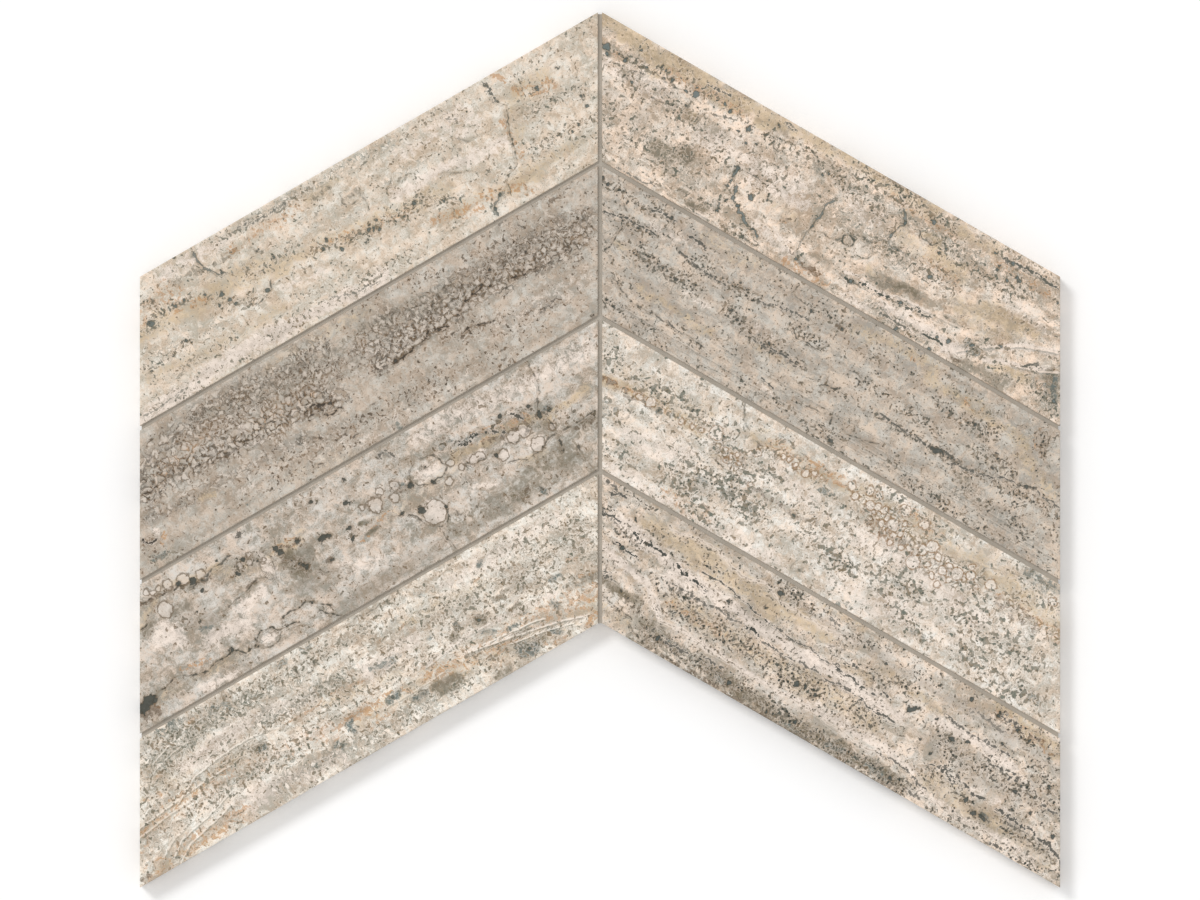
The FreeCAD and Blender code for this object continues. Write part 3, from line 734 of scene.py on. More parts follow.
            (0.9, 0.45, (-35.8, -14.8), (-34.7, -16.7)),
            (0.9, 0.35, (-2.1, 6), (-3.7, 4.4), (-3.7, -0.9), (-4.2, -4.6)),
            (0.5, 0.3, (-4.2, -4.6), (-5.5, -8.3), (-5.3, -11.4), (-4.7, -14.6), (-2.6, -17.2),
             (-0.5, -19)),
            (0.9, 0.35, (19.7, 15), (21.6, 13), (22.9, 10.7), (21.3, 7.5), (20.3, 3.9)),
            (0.6, 0.25, (20.3, 3.9), (17.4, 1.3), (15.3, -0.4)),
            (0.6, 0.3, (20.3, 3.3), (23.2, 1.7), (27.6, 2.3)),
        ],
        "spots": [
            (-95.6, 12.6, 1.3), (-94.2, 10.8, 1.1), (-84.7, 17.5, 0.5), (-88.2, 16, 0.4),
            (-90.5, 12.8, 0.4), (-87.4, 12, 0.9), (-81.5, 12.7, 0.7), (-80.2, 12.9, 0.6),
            (-73.7, 13.3, 0.5), (-70.3, 14.1, 0.8), (-73.7, 15.7, 0.4), (-64.7, 13.3, 0.7),
            (-61.4, 14.1, 1.3), (-62, 16, 0.6), (-47.9, 14.4, 0.8), (-51, 15.8, 0.4),
            (-39.7, 12.8, 1.1), (-42.4, 10.2, 0.6), (-34.5, 9.6, 0.7), (-31.6, 18.6, 0.6),
            (-9.8, 12, 0.7), (-8.6, 13, 0.6), (-27.1, -7.2, 1), (-81.8, 6.2, 0.5), (-37.9, 8, 0.5),
            (-36.2, -7.8, 0.9), (-34.2, -7.2, 0.5), (-29.4, -11.8, 0.7), (-21.6, -16.2, 0.8),
            (-34.2, -12.2, 0.6), (-34.8, -16.6, 0.8), (-4.3, -5, 0.8), (-38.6, 14, 0.4),
            (7.6, 17.3, 0.6), (10, 14.4, 0.5), (22.9, 11.5, 0.8), (30.8, 16.5, 0.7),
            (37.9, 8.3, 0.6), (39, 10.4, 0.5), (38.8, -0.3, 0.9), (54.2, 18.1, 0.8),
            (57.7, 14.8, 0.6), (57.5, 13.4, 0.6), (61, 17.5, 0.8), (64.4, 14.2, 0.6),
            (66.2, 14, 0.6), (62.4, 12, 0.7), (25, 1.6, 0.5), (55.3, -16.2, 0.8),
            (51.3, -16.7, 0.5), (51, -21.6, 0.9), (38, -21.6, 0.9), (63, -13, 0.6),
            (65.4, -14.8, 0.6), (97, -16, 0.9), (71.5, -8.6, 0.6), (-61.8, 8.8, 0.4),
            (-76, 16.2, 0.4), (80.6, 14, 0.4), (16.6, -15.3, 0.8), (34.8, -12.6, 0.6),
            (47, 2.2, 0.5), (-22, -5, 0.4), (-93, -21, 0.5), (-3.2, -17.6, 0.6),
        ],
    },
    "right_tile_2": {
        "seed": 67,
        "body": ((172, 160, 147), (216, 203, 189)),
        "speck": (82, 86, 78),
        "clouds": 2.9,
        "cool_glow": 0.99,
        "streaks": 0.9,
        "specks": 0.45,
        "speck_size": 1.35,
        "slate": 0.2,
        "dots": 0.5,
        "chains": 0.8,
        "beds": [[(-103, -6), (-76, -12), (-42, -14), (0, -15), (60, -14), (103, -16)]],
        "grey": [
            (0.5, 3, (-85, -17), (-55, -18)), (0.4, 2, (54, -9), (60, -9.5)),
            (0.5, 3, (-75, -3), (-60, -4)),
        ],
        "tan": [
            (0.6, 2.6, (30, 14.5), (50, 14), (69, 12.5)),
            (0.5, 2.2, (-72, -7), (-55, -8), (-42, -9)), (0.5, 1.8, (-85, 1.5), (-81, 1.2)),
            (0.5, 3, (0, 18), (30, 19)), (0.5, 4, (70, 8), (84, 2)),
            (0.4, 3, (-60, 19), (-40, 19)), (0.4, 2, (-30, -5), (-12, -5)),
        ],
        "pale": [
            (0.5, 1.2, (-20, -16), (-14, -16)), (0.5, 2, (-56, -1), (-48, -1)),
            (0.5, 2, (-30, 0.5), (-24, 0)), (0.4, 3, (-80, 13), (-60, 14)),
        ],
        "olive": [
            (0.6, 2, (54, -8.5), (60, -9.5)), (0.4, 2.5, (50, 1), (66, 2)),
            (0.5, 1, (34, -5.6), (44, -5.8)), (0.3, 3, (-10, 15), (-2, 15)),
        ],
        "brown": [
            (0.7, 0.9, (-6, 14.8), (-3, 14.8)), (0.5, 1.6, (72, 18), (75, 13)),
            (0.5, 0.6, (33, -5), (42, -5)), (0.4, 0.8, (15, -11), (18, -12)),
        ],
        "rust": [
            (0.5, 1.2, (22, 18), (24, 15)), (0.5, 1.6, (71, 18), (75, 12)),
            (0.3, 2, (44, 15), (50, 15)),
        ],
        "pores": [
            (0.8, 1.6, (-101, 18), (-86, 17), (-72, 17)), (0.8, 1.4, (-94, 10.5), (-76, 10.5)),
            (0.8, 1.8, (-66, 9.5), (-46, 8.5), (-34, 9.5)), (0.8, 2.4, (-78, 3), (-56, 2)),
            (0.9, 2.6, (-43, 2), (-33, -0.5)), (0.8, 2, (-29, -3), (-11, -3)),
            (0.7, 2, (-22, 8), (-6, 6)), (0.8, 1.2, (20, -4.6), (44, -5), (52, -5)),
            (0.7, 2, (52, -5), (64, -4), (90, -3)), (0.7, 2.4, (58, 2), (70, 2)),
            (0.6, 2.4, (36, 10), (60, 9)), (0.6, 2.4, (60, -11), (84, -14)),
            (0.7, 2, (72, 18), (76, 12)), (0.6, 2, (-80, -18), (-60, -18)),
            (0.5, 2.4, (10, 3), (40, 1)), (0.5, 2, (0, -20), (12, -20)),
            (0.5, 2, (40, -19), (80, -20)), (0.4, 2, (-20, 18), (0, 17)),
        ],
        "curds": [
            (0.4, 4, (40, 16), (76, 14)), (0.4, 4, (-80, 0), (-60, 0)),
            (0.4, 4, (55, -14), (85, -12)),
        ],
        "curd_size": 2.2,
        "seam": [
            (0.4, 0.2, (-84, -16), (-60, -16.5), (-20, -17), (20, -16.6), (60, -16), (98, -17)),
            (0.3, 0.2, (-80, -19), (-40, -19), (0, -18.6), (50, -18), (99, -19.4)),
            (0.3, 0.2, (20, -14.5), (60, -14), (96, -15)),
            (0.4, 0.25, (-90, 0), (-87, -2), (-82, -5)),
            (0.3, 0.25, (-40, -11), (0, -11.5), (30, -11)),
        ],
        "crack": [
            (0.8, 0.3, (-80, -9), (-76, -12), (-67, -13), (-57, -13), (-42, -14)),
            (0.6, 0.25, (-11.8, -13.5), (-2, -14), (7, -13)),
            (0.8, 0.3, (7.7, -10.8), (8.2, -15.2)), (0.5, 0.25, (16, -8.5), (16.5, -13)),
            (0.7, 0.35, (12.7, -15.2), (21.5, -14), (25, -13)),
            (0.9, 0.3, (-86.8, 7), (-87.1, 2.5), (-87.3, -2)),
            (0.9, 0.3, (-20.7, 7), (-16.2, 4.8), (-7.3, 4.8)),
            (0.9, 0.35, (-0.7, -5.2), (3.2, -4), (5.4, -3)),
            (0.6, 0.3, (75.4, 18), (76, 12.5), (80.4, 9.2)),
            (0.6, 0.3, (-24, 19.5), (-24.4, 17), (-21, 16.4)),
            (0.6, 0.3, (-90, 15), (-86.8, 12), (-86, 9)),
        ],
        "row": [
            (0.9, 0.25, (-94.5, 9.2), (-87.3, 10.9), (-76, 10.9)),
            (0.8, 0.25, (-66, 9.8), (-55, 8.4), (-46, 8)), (0.9, 0.35, (-79.5, 18), (-72, 18.7)),
            (0.9, 0.35, (-65, 16), (-58.5, 16)), (0.8, 0.25, (-33, 8.7), (-24, 11.4), (-16, 12)),
            (0.8, 0.25, (-28, -4), (-20, -3), (-11, -3)),
            (0.9, 0.3, (-19.5, -13.3), (-14.5, -14.7)), (0.8, 0.25, (-57, -12.4), (-50, -13.6)),
            (0.8, 0.25, (21.5, -4), (33, -4.8), (43.7, -4.6), (52, -3.6)),
            (0.8, 0.25, (50.4, -6.3), (62.7, -4), (69.3, -1.3), (80, 0), (90.4, -0.8)),
        ],
        "spots": [
            (44.3, -5, 1.4), (46, -4.6, 0.8), (42.4, -4.6, 0.6), (50, -4, 0.6), (77, -0.2, 0.9),
            (74.6, -0.6, 0.7), (79.4, 0.3, 0.6), (11.5, -20.2, 0.9), (10, -19.6, 0.5),
            (-84, 1.4, 0.3), (-42, 11, 0.6), (-38.6, 10.2, 0.5), (-89.5, 15.5, 0.5),
            (-101, 18.7, 0.6), (-98, 17.6, 0.6), (-16.2, 14.8, 0.7), (-4.6, 14.8, 0.8),
            (-23, -2, 0.7), (62.7, 4.7, 0.6), (-73.4, 18.3, 0.5), (-59, 16.1, 0.5),
            (-84, 10.8, 0.5), (-40, 1.4, 0.6), (-36.6, -0.4, 0.6), (-34.4, 0.8, 0.5),
            (-67.6, 2.6, 0.5), (-62, 1, 0.4), (-74, 3.6, 0.5), (-12, -2.8, 0.5), (26.4, 7.2, 0.5),
            (36.6, 8.6, 0.5), (51, 9.4, 0.5), (63.6, -0.6, 0.5), (70, -14, 0.5), (56.4, 0, 0.4),
            (-59, -20.8, 0.4),
        ],
    },
    "right_tile_3": {
        "seed": 79,
        "body": ((192, 179, 163), (253, 241, 229)),
        "speck": (101, 109, 98),
        "clouds": 2.8,
        "grain_lines": 0.85,
        "cool_glow": 1.04,
        "streaks": 0.3,
        "specks": 0.5,
        "speck_size": 1.8,
        "slate": 0.4,
        "bead_edge": (146, 114, 80),
        "dots": 0.25,
        "chains": 0.5,
        "grain_size": 1.6,
        "grain_gaps": 0.8,
        "beds": [
            [(-103, 4), (-70, 5), (-48, 6), (-25, 11), (0, 13), (30, 10), (60, 10), (100, 12)],
        ],
        "tan": [
            (0.8, 2.4, (-93, 5), (-75, 6), (-55, 6)), (0.6, 4, (-36, 14), (-10, 15), (2, 15)),
            (0.5, 6, (5, 14), (25, 12), (50, 10)), (0.6, 5, (60, 11), (80, 9), (95, 6)),
            (0.4, 5, (-90, 11), (-55, 12)), (0.4, 4, (15, 18), (35, 17)),
            (0.5, 4, (-45, 3), (-38, 2)), (0.3, 3, (-84, -5), (-70, -2)),
            (0.4, 3, (-58, -15), (-40, -19)), (0.3, 5, (50, 17), (75, 17)),
        ],
        "pale": [
            (0.7, 5, (12, 3), (40, 1), (60, -2)), (0.6, 5, (-75, -7), (-55, -4)),
            (0.6, 3, (-75, -20), (-10, -20)), (0.6, 4, (-25, 8), (-8, 4)),
            (0.5, 6, (10, -16), (40, -18)), (0.4, 3, (-5, -5), (5, -3)),
            (0.4, 5, (30, -9), (60, -12)),
        ],
        "olive": [
            (0.4, 5, (-50, -8), (-30, -8)), (0.35, 5, (2, -8), (12, -10)),
            (0.35, 4, (76, -16), (92, -16)), (0.3, 4, (26, -4), (36, -3)),
            (0.3, 4, (54, -3), (80, -8)), (0.3, 4, (-46, 12), (-36, 10)),
        ],
        "brown": [
            (0.6, 4, (-46, 4), (-38, 2)),
            (0.6, 1.1, (-37, 1), (-30, -2), (-20, -2), (-12, -3), (-5, -1.5)),
            (0.5, 1.5, (-8, 1), (-3, 2)), (0.4, 5, (8, 9), (30, 8), (48, 7)),
            (0.5, 3, (64, 7), (76, 5)), (0.5, 1.5, (-93, 4.5), (-70, 5)),
            (0.3, 2, (-60, -15), (-40, -15)), (0.4, 1.3, (-36, 11), (-30, 12), (-20, 11)),
        ],
        "teal": [
            (0.8, 1.2, (-71, 5), (-70, 5)), (0.7, 1, (-66, 6), (-64, 6.5)),
            (0.6, 2, (-29, -7), (-27, -8)), (0.5, 1.5, (-10, 9.5), (-5, 10)),
            (0.7, 1.6, (66, 20), (78, 20)), (0.6, 1.4, (60, -15), (63, -15)),
            (0.6, 1.6, (78, -17), (90, -16)), (0.5, 1.4, (14, 15), (17, 14)),
            (0.4, 2, (-92, -2), (-84, -3)), (0.5, 1.2, (15, -21), (19, -20)),
            (0.4, 1.5, (34, 15), (36, 14)),
        ],
        "blot": [
            (0.7, 2, (-38, -7), (-35, -8.6)), (0.8, 1.8, (-29, -7.4), (-27, -8.6)),
            (0.6, 1.8, (-48, -8), (-45, -9)), (0.5, 2.2, (4, -8), (14, -9)),
            (0.5, 1.8, (28, -5), (36, -6)), (0.7, 1.6, (89, -16)), (0.6, 1.2, (-70.4, 4.8)),
            (0.5, 1.6, (42, -17), (46, -18)), (0.5, 1.4, (60, -15), (64, -18)),
            (0.4, 2, (-30, 18), (-20, 16)), (0.4, 2, (12, 18), (22, 16)),
            (0.5, 1.6, (66, 18), (74, 17)),
        ],
        "rust": [
            (0.8, 1.2, (-92, 5), (-78, 6.5), (-68, 6)), (0.5, 3, (-30, 14), (-5, 15)),
            (0.5, 4, (8, 9), (20, 8)), (0.4, 3, (20, 17), (32, 16)), (0.5, 2.5, (62, 8), (90, 6)),
            (0.4, 3, (-55, -18), (-38, -18)),
        ],
        "pores": [
            (0.7, 4, (-95, 13), (-80, 11), (-66, 10)), (0.6, 4, (-60, 10), (-48, 11)),
            (0.9, 5, (-50, -8), (-40, -7), (-28, -8)), (0.5, 4, (-24, -9), (-16, -13)),
            (0.7, 5, (-58, -14), (-38, -18)), (0.8, 5, (0, -7), (12, -9)),
            (0.8, 3.5, (24, -3), (36, -4)), (0.5, 3, (24, -9), (32, -12)),
            (0.6, 5, (52, -3), (66, -9), (80, -6)), (0.5, 3, (-82, -3), (-92, -2)),
            (0.5, 4, (-70, -15), (-80, -16)), (0.7, 4, (60, -15), (76, -17), (92, -16)),
            (0.5, 4, (-34, 3), (-24, 5)), (0.5, 3, (34, -14), (48, -17)),
            (0.5, 4, (66, 15), (80, 12)), (0.5, 3, (50, 5), (64, 3)),
            (0.4, 3, (-66, 1), (-60, -1)), (0.5, 4, (10, 18), (30, 18)),
            (0.3, 9, (-60, 2), (80, -3)),
        ],
        "grains": [
            (0.9, 3, (-46, 4), (-38, 1)), (0.5, 1.4, (-80, 6), (-55, 7)),
            (0.5, 1.6, (-34, 11.5), (-10, 12.5)), (0.65, 3.5, (4, 14), (24, 10), (50, 8)),
            (0.4, 2.5, (30, 4), (48, 4)), (0.5, 3, (64, 7), (92, 6)),
        ],
        "crack": [
            (0.6, 0.4, (-47, 22), (-44, 17), (-41, 15)),
            (0.4, 0.3, (-88, -6), (-82, -6), (-79, -3), (-79, 1)),
            (0.4, 0.3, (-34, 2), (-30, 5), (-36, 8), (-34, 10)),
            (0.4, 0.3, (40, 11), (50, 14), (62, 17), (72, 20)),
            (0.35, 0.25, (-4, -16), (-1.5, -15.5), (-1.5, -18), (-4, -19.5), (-5, -18), (-4, -16)),
        ],
        "beads": [
            (-78.5, 5.7, 1), (-74.5, 6, 1.6), (-62, 5.5, 0.9), (-58, 6, 0.7), (-55, 6.5, 0.8),
            (-49.9, 8.1, 2.2), (-34.2, 9.4, 1), (-25.9, 12.5, 0.9), (-23.7, 13.2, 0.8),
            (-21, 12, 0.7), (-16.7, 11.6, 1.2), (-13.8, 13, 0.9), (-0.9, 15.8, 1.3),
            (1.9, 13.2, 1.3), (5.4, 17.3, 1.4), (8.9, 17.6, 1.1), (7.9, 13, 1.4), (10.3, 14, 1.2),
            (10.2, 11.6, 0.8), (12.8, 14.1, 1.2), (15.2, 12.3, 0.9), (19.2, 17.3, 1.7),
            (18, 11.2, 2), (21.2, 13.4, 0.9), (27.2, 16.6, 1.6), (33.2, 11.4, 2), (31, 8.9, 1.6),
            (21.7, 9.7, 0.9), (26.9, 6.8, 1.1), (19.9, 7.9, 0.9), (19.9, 5.6, 0.8),
            (16.8, 7.2, 0.7), (36.7, 9.4, 1.1), (41.6, 8.6, 0.9), (40.4, 6.2, 1.4), (45.2, 7.7, 2),
            (49.6, 9.4, 1.4), (48.5, 12, 0.9), (43.9, 4.4, 1), (37.9, 2.7, 0.8), (41.1, 1.2, 1),
            (30, 3.7, 2.3), (57, 10, 1.8), (78, 15.5, 1.1), (14, 9.5, 1), (24, 6, 0.9),
            (34.5, 5.5, 0.9), (-42.5, 1.6, 0.7), (-40, 5.2, 0.7), (-44.5, 4.6, 0.7), (-38, 3, 0.6),
            (-41.5, 3.6, 0.6), (-31, -1.2, 0.8), (52.5, 7, 0.8),
        ],
        "spots": [(-70.5, 5.2, 0.9), (-13, -3.2, 0.8)],
    },
    "right_tile_4": {
        "seed": 97,
        "body": ((179, 165, 148), (240, 225, 211)),
        "speck": (62, 70, 62),
        "clouds": 3.4,
        "cool_glow": 0.97,
        "streaks": 0.9,
        "specks": 0.5,
        "speck_size": 1.3,
        "slate": 0.3,
        "dots": 0.5,
        "chains": 0.5,
        "beds": [
            [(-103, 12), (-60, 6.5), (-20, 5), (20, 4), (50, 7), (75, 4), (100, -3)],
            [(-95, 3), (-75, -2), (-62, -11), (-20, -12), (25, -12), (45, -15), (80, -19)],
            [(-103, 20), (-50, 18), (-20, 15), (20, 16), (60, 17), (90, 10)],
        ],
        "tan": [
            (0.7, 4.5, (-80, 15), (-55, 14), (-32, 13), (-10, 12)), (0.5, 2, (-16, 20.5), (0, 21)),
            (0.6, 4, (-60, -3), (-20, -5), (20, -5)), (0.7, 3.5, (54, 20), (78, 18)),
            (0.5, 4, (45, -12), (62, -14), (75, -14)), (0.4, 4, (-78, -18), (-70, -19)),
            (0.6, 2.2, (2, 6.5), (11, 6.5)), (0.5, 3, (15, 12), (36, 9)),
            (0.4, 3, (74, -14), (95, -17)),
        ],
        "pale": [
            (0.9, 2.6, (-90, 11), (-68, 7), (-45, 5), (-20, 3), (10, 2), (26, 1)),
            (0.8, 2.4, (-66, 3), (-58, 1)), (0.9, 2.2, (38, 6), (55, 6.5), (68, 5)),
            (0.8, 1.6, (-90, 1), (-80, -1), (-71, -3), (-66, -6), (-62, -10)),
            (0.8, 1.1, (-55, -10.5), (-45, -11), (-30, -11.5), (0, -11.5), (28, -11.5),
             (40, -12.5)), (0.6, 1.6, (0, -9.5), (30, -10)),
            (0.6, 1.5, (44, -17), (60, -18), (90, -18)), (0.6, 1.2, (-7, 10), (-3, 11)),
            (0.5, 1.5, (60, -8), (75, -8)), (0.6, 1.2, (45, 12.5), (48, 12)),
        ],
        "grey": [
            (0.5, 3, (-75, 21), (-40, 21)), (0.7, 2.6, (-25, 17), (0, 16), (40, 15), (85, 13)),
            (0.7, 5, (42, 1), (60, -1), (78, 0)), (0.5, 2, (-60, -13), (-20, -14), (10, -14)),
            (0.4, 3, (-90, -3), (-72, -5)),
        ],
        "olive": [
            (0.9, 3, (-66, -16), (-50, -17.5), (-30, -17.5), (-12, -19)),
            (1, 3, (-12, -20), (5, -19.5), (20, -19), (38, -18.6)),
            (0.7, 1.6, (-66, -21.6), (-20, -21.6), (38, -21.4)), (0.6, 2.2, (76, -12), (98, -15)),
            (0.8, 2, (-86, -8), (-78, -10), (-69, -12)), (0.4, 2, (64, -14.5), (70, -14.5)),
        ],
        "brown": [
            (0.6, 1.6, (-84, -8), (-76, -10), (-69, -11.5)), (0.8, 1.6, (-58, -17), (-50, -17)),
            (0.8, 1.6, (-35, -17.5), (-26, -18.5)), (0.8, 1.8, (0, -20), (10, -19)),
            (0.7, 1.6, (34, -19), (40, -20)), (0.6, 1, (-60, -21.6), (40, -21.6)),
            (0.3, 2, (70, 19), (78, 17)),
        ],
        "teal": [
            (0.9, 1.8, (12.4, -18)), (0.9, 1.8, (19, -18.8)), (1, 2.4, (27, -18.5), (29.5, -18.5)),
            (0.9, 1.4, (34, -19)), (0.6, 1.5, (-48, -16.5), (-44, -17)),
            (0.5, 1.6, (-12, -19), (-6, -19.5)), (0.6, 1.2, (44, 4), (48, 2)),
        ],
        "smudge": [
            (0.7, 2.2, (-83, -8), (-76, -9.4), (-70, -9.6)), (0.6, 2.4, (-66, -15), (-50, -16.4)),
            (0.7, 2.4, (-40, -16.5), (-28, -18)),
            (0.75, 2.6, (-24, -18.5), (-4, -19.5), (10, -19.4)),
            (0.75, 2.6, (14, -18), (38, -18.4)), (0.4, 1.8, (66, -11), (80, -12.4), (96, -14)),
        ],
        "blot": [
            (0.7, 1.2, (10, -20), (16, -19)), (0.7, 1.4, (24, -18.8), (32, -19.4)),
            (0.6, 1, (-8, -20.6), (-2, -20.6)), (0.6, 0.9, (-36, -17.4), (-32, -19)),
            (0.6, 0.8, (-55, -15.6), (-48, -15.8)), (0.6, 1, (67, -13.4), (69, -14)),
        ],
        "rust": [
            (0.4, 2, (-60, -5), (-40, -5)), (0.4, 2, (54, 19), (76, 17)),
            (0.4, 1.2, (-30, -4), (-22, -5)),
        ],
        "pores": [
            (0.6, 2.5, (-97, 12), (-86, 9), (-78, 7)), (0.7, 1.6, (-88, 8), (-80, 6)),
            (0.8, 1.2, (-57, 13.3), (-51, 12.5)), (0.8, 2, (-63, 1), (-52, 0)),
            (0.6, 1.6, (-69, -1), (-65, -3)), (0.7, 2.5, (-32, 18.5), (-18, 18)),
            (0.6, 2, (0, 18), (6, 17)), (0.8, 2, (56, 18.5), (70, 17)),
            (0.5, 4, (-60, -4), (-20, -7), (0, -7)), (0.4, 4, (-40, -2), (20, -5)),
            (0.5, 2, (20, 12), (26, 12)), (0.6, 3.5, (42, 3), (56, -1), (74, 0)),
            (0.6, 2.5, (60, 3), (90, 0)), (0.6, 2.5, (-62, -17), (-8, -18)),
            (0.7, 2.5, (-8, -19), (40, -19)), (0.5, 2, (50, -20), (90, -20)),
            (0.6, 2.5, (74, 10), (84, 5)), (0.7, 1.2, (-16, -14.5), (-12, -15)),
            (0.6, 2, (44, -10), (62, -12)), (0.6, 2, (74, -12), (98, -15)),
            (0.4, 3, (5, 8), (20, 8)),
        ],
        "row": [
            (0.8, 0.5, (-100, 21.5), (-96, 20.5)), (0.9, 0.5, (-97, 18.5), (-92, 19)),
            (0.9, 0.5, (-97, 10.5), (-90, 10.8)),
            (1, 0.5, (-84, 9.8), (-78, 8.7), (-74.5, 9.2), (-69.5, 8.7)),
            (1, 0.4, (-65.5, 7.8), (-60.8, 6.6), (-57.4, 6), (-52.9, 5.4)),
            (1, 0.3, (-87, 4.8), (-83, 4), (-79, 3.3)),
            (0.9, 0.25, (-56.3, 10.2), (-46.3, 10.2), (-42, 9), (-38, 8.6), (-34.7, 7.3),
             (-26, 6.4)), (0.8, 0.25, (-26, 6.4), (-19, 6), (-12.6, 6), (-6, 4.5), (0, 5.6)),
            (0.7, 0.4, (-63.7, 1.7), (-50, 1.6), (-41, 1.6), (-36, 2)),
            (1, 0.35, (-33.7, 1.6), (-29, 1.3)),
            (0.8, 0.3, (-27, 0.2), (-20, -0.2), (-13.7, -0.3)),
            (0.8, 0.3, (-12, 0.6), (-0.5, 0), (9.5, -0.1)),
            (0.9, 0.35, (11.6, -0.1), (15.3, -1.4), (20, -1.3), (25.3, -1.4)),
            (0.9, 0.3, (0, 4.4), (7, 4), (13, 3.1), (15.8, 4.1), (17.4, 5.4), (20.3, 4.9)),
            (0.9, 0.4, (0.5, 6.6), (1.5, 7.6), (5.3, 8.6)),
            (0.7, 0.5, (-10.5, 18.8), (-7.6, 17.8)),
            (0.8, 0.5, (56.8, 18.6), (59, 19.4), (62.6, 18.3)),
            (0.6, 0.5, (46, 15.4), (59.5, 14.9)),
            (0.8, 0.35, (40, 9.6), (43.7, 8.7), (47.4, 8.3), (56.8, 8.3), (65.3, 8.8)),
            (0.8, 0.35, (59.5, 2.8), (66, 3), (72.6, 3.9)),
            (0.9, 0.3, (71.6, 2.5), (69.2, 1.7), (69, -0.4)),
            (0.9, 0.35, (43.7, -7.7), (47.4, -7.2), (52.6, -8.8), (56.8, -7.7), (61.6, -9.3),
             (65.3, -8.8)), (0.8, 0.4, (47.4, -6.2), (53, -6.8)),
            (0.9, 0.45, (71, -9.8), (79, -10.4), (85.3, -10.1), (88.4, -12), (91.6, -10.9),
             (99.5, -15)), (0.8, 0.35, (82.6, -0.6), (90.5, -0.9)),
            (0.8, 0.3, (26.3, -13.3), (33.7, -13), (38.4, -13.5), (41, -14.3), (42.1, -15.6),
             (45.8, -16.2)), (0.8, 0.5, (-54.7, -16.4), (-46.8, -16.2)),
            (0.8, 0.5, (-40, -14.6), (-34, -14.8)), (0.8, 0.6, (-85, -7.3), (-82, -7.6)),
            (0.8, 0.5, (75.3, -20.4), (79, -20.4)), (0.7, 0.3, (34.7, -7.7), (36.8, -5)),
            (0.7, 0.5, (41.6, -19), (45.8, -20.3)),
        ],
        "crack": [
            (0.8, 0.25, (14.2, 8.8), (15.5, 7), (16.3, 8.6), (20, 11.2), (22.6, 11.5)),
            (0.7, 0.25, (5.3, 8.6), (11.6, 8.6), (13.7, 4.9)),
            (0.8, 0.25, (-81.6, -14), (-75, -15), (-69.5, -15.4)),
            (0.7, 0.25, (-69.5, -17.2), (-66.3, -19.3), (-63, -21), (-61, -18.3)),
            (0.6, 0.25, (-6, 12.7), (-3, 13.6), (-1, 12), (-3, 9.5), (-6, 10), (-4, 11.5)),
        ],
        "lamina": [
            (0.8, 0.35, (-73.7, 17.8), (-69.5, 17.8), (-66.8, 18.8), (-61.6, 19.4), (-54.2, 19.1)),
            (0.9, 0.35, (-54.2, 19.1), (-49.5, 17.5), (-44.7, 15.7), (-40.5, 16.2), (-35.3, 18),
             (-32, 15.4)),
            (0.8, 0.35, (-32, 15.4), (-28.4, 14.1), (-23.7, 14.6), (-10.5, 14.4), (-1, 15.4)),
            (1, 0.35, (-61, -10.9), (-51.6, -10.1), (-47, -10.9), (-43, -11.7), (-38, -11.2),
             (-31.6, -11.7)),
            (0.8, 0.35, (-31.6, -11.7), (-21, -12.5), (-10.5, -12.2), (0, -12.2), (10.5, -13),
             (21, -14)), (0.8, 0.35, (21, -14), (26.3, -13.3)),
            (0.7, 0.35, (50, -17.5), (60, -19), (80, -18.5)),
            (0.7, 0.3, (85.8, -19.6), (89.5, -19.3), (91.8, -20.6)),
            (0.5, 0.3, (28, -0.5), (33, -0.4), (38, -2)),
        ],
        "spots": [
            (-9.6, -6.7, 1), (-6.6, -6.1, 0.7), (-2.2, -7, 0.7), (-15.8, -7.4, 0.6), (28, 5, 1.2),
            (29.5, 6, 1), (30.8, 6.8, 0.7), (-30, 17.3, 1.1), (55.3, 19.2, 0.9), (55.2, 18, 0.9),
            (-84.2, 3.6, 1), (-31.6, 10.4, 0.6), (-78, 8.6, 0.6), (64.5, -14.7, 0.9),
            (67.2, -14.2, 0.9), (68.4, -14.4, 0.8), (-48.2, 7.8, 0.6), (-44, 6, 0.6),
            (-57.4, 15.7, 0.4), (-58.4, -17.2, 1), (-85, 14.6, 0.5), (13, 14.6, 0.7),
            (33.4, 17.8, 0.6), (31.7, 20.7, 0.4), (29, 17.8, 0.4), (44.5, 18.3, 0.7),
            (63.4, 17.3, 0.8), (68.4, 16.2, 0.7), (77.6, 14.4, 0.6), (61, 10.4, 0.7),
            (37.9, 7, 0.6), (50.5, 5.2, 0.7), (45.5, 3.5, 0.9), (73.7, 1.2, 0.7), (73, -1.4, 0.8),
            (41.8, -4.3, 0.5), (36.3, -2, 0.5), (60.8, -6.7, 0.6), (60, -12.2, 0.8),
            (75.3, -7, 0.8), (81, -5.1, 0.7), (92, -8, 0.7), (86.3, -6.4, 0.6), (82, 5.7, 0.7),
            (87.5, 4, 0.5), (33.7, -18.8, 1), (-30, -18.3, 1.1), (-13.5, -19.8, 0.6),
            (58.4, -21.2, 0.4), (-77.4, -9.4, 0.6), (-74.2, -9.9, 0.6), (-22.4, -7.5, 0.4),
            (-3.7, -18.3, 0.7), (-68.2, -21.2, 0.4),
        ],
    },
}

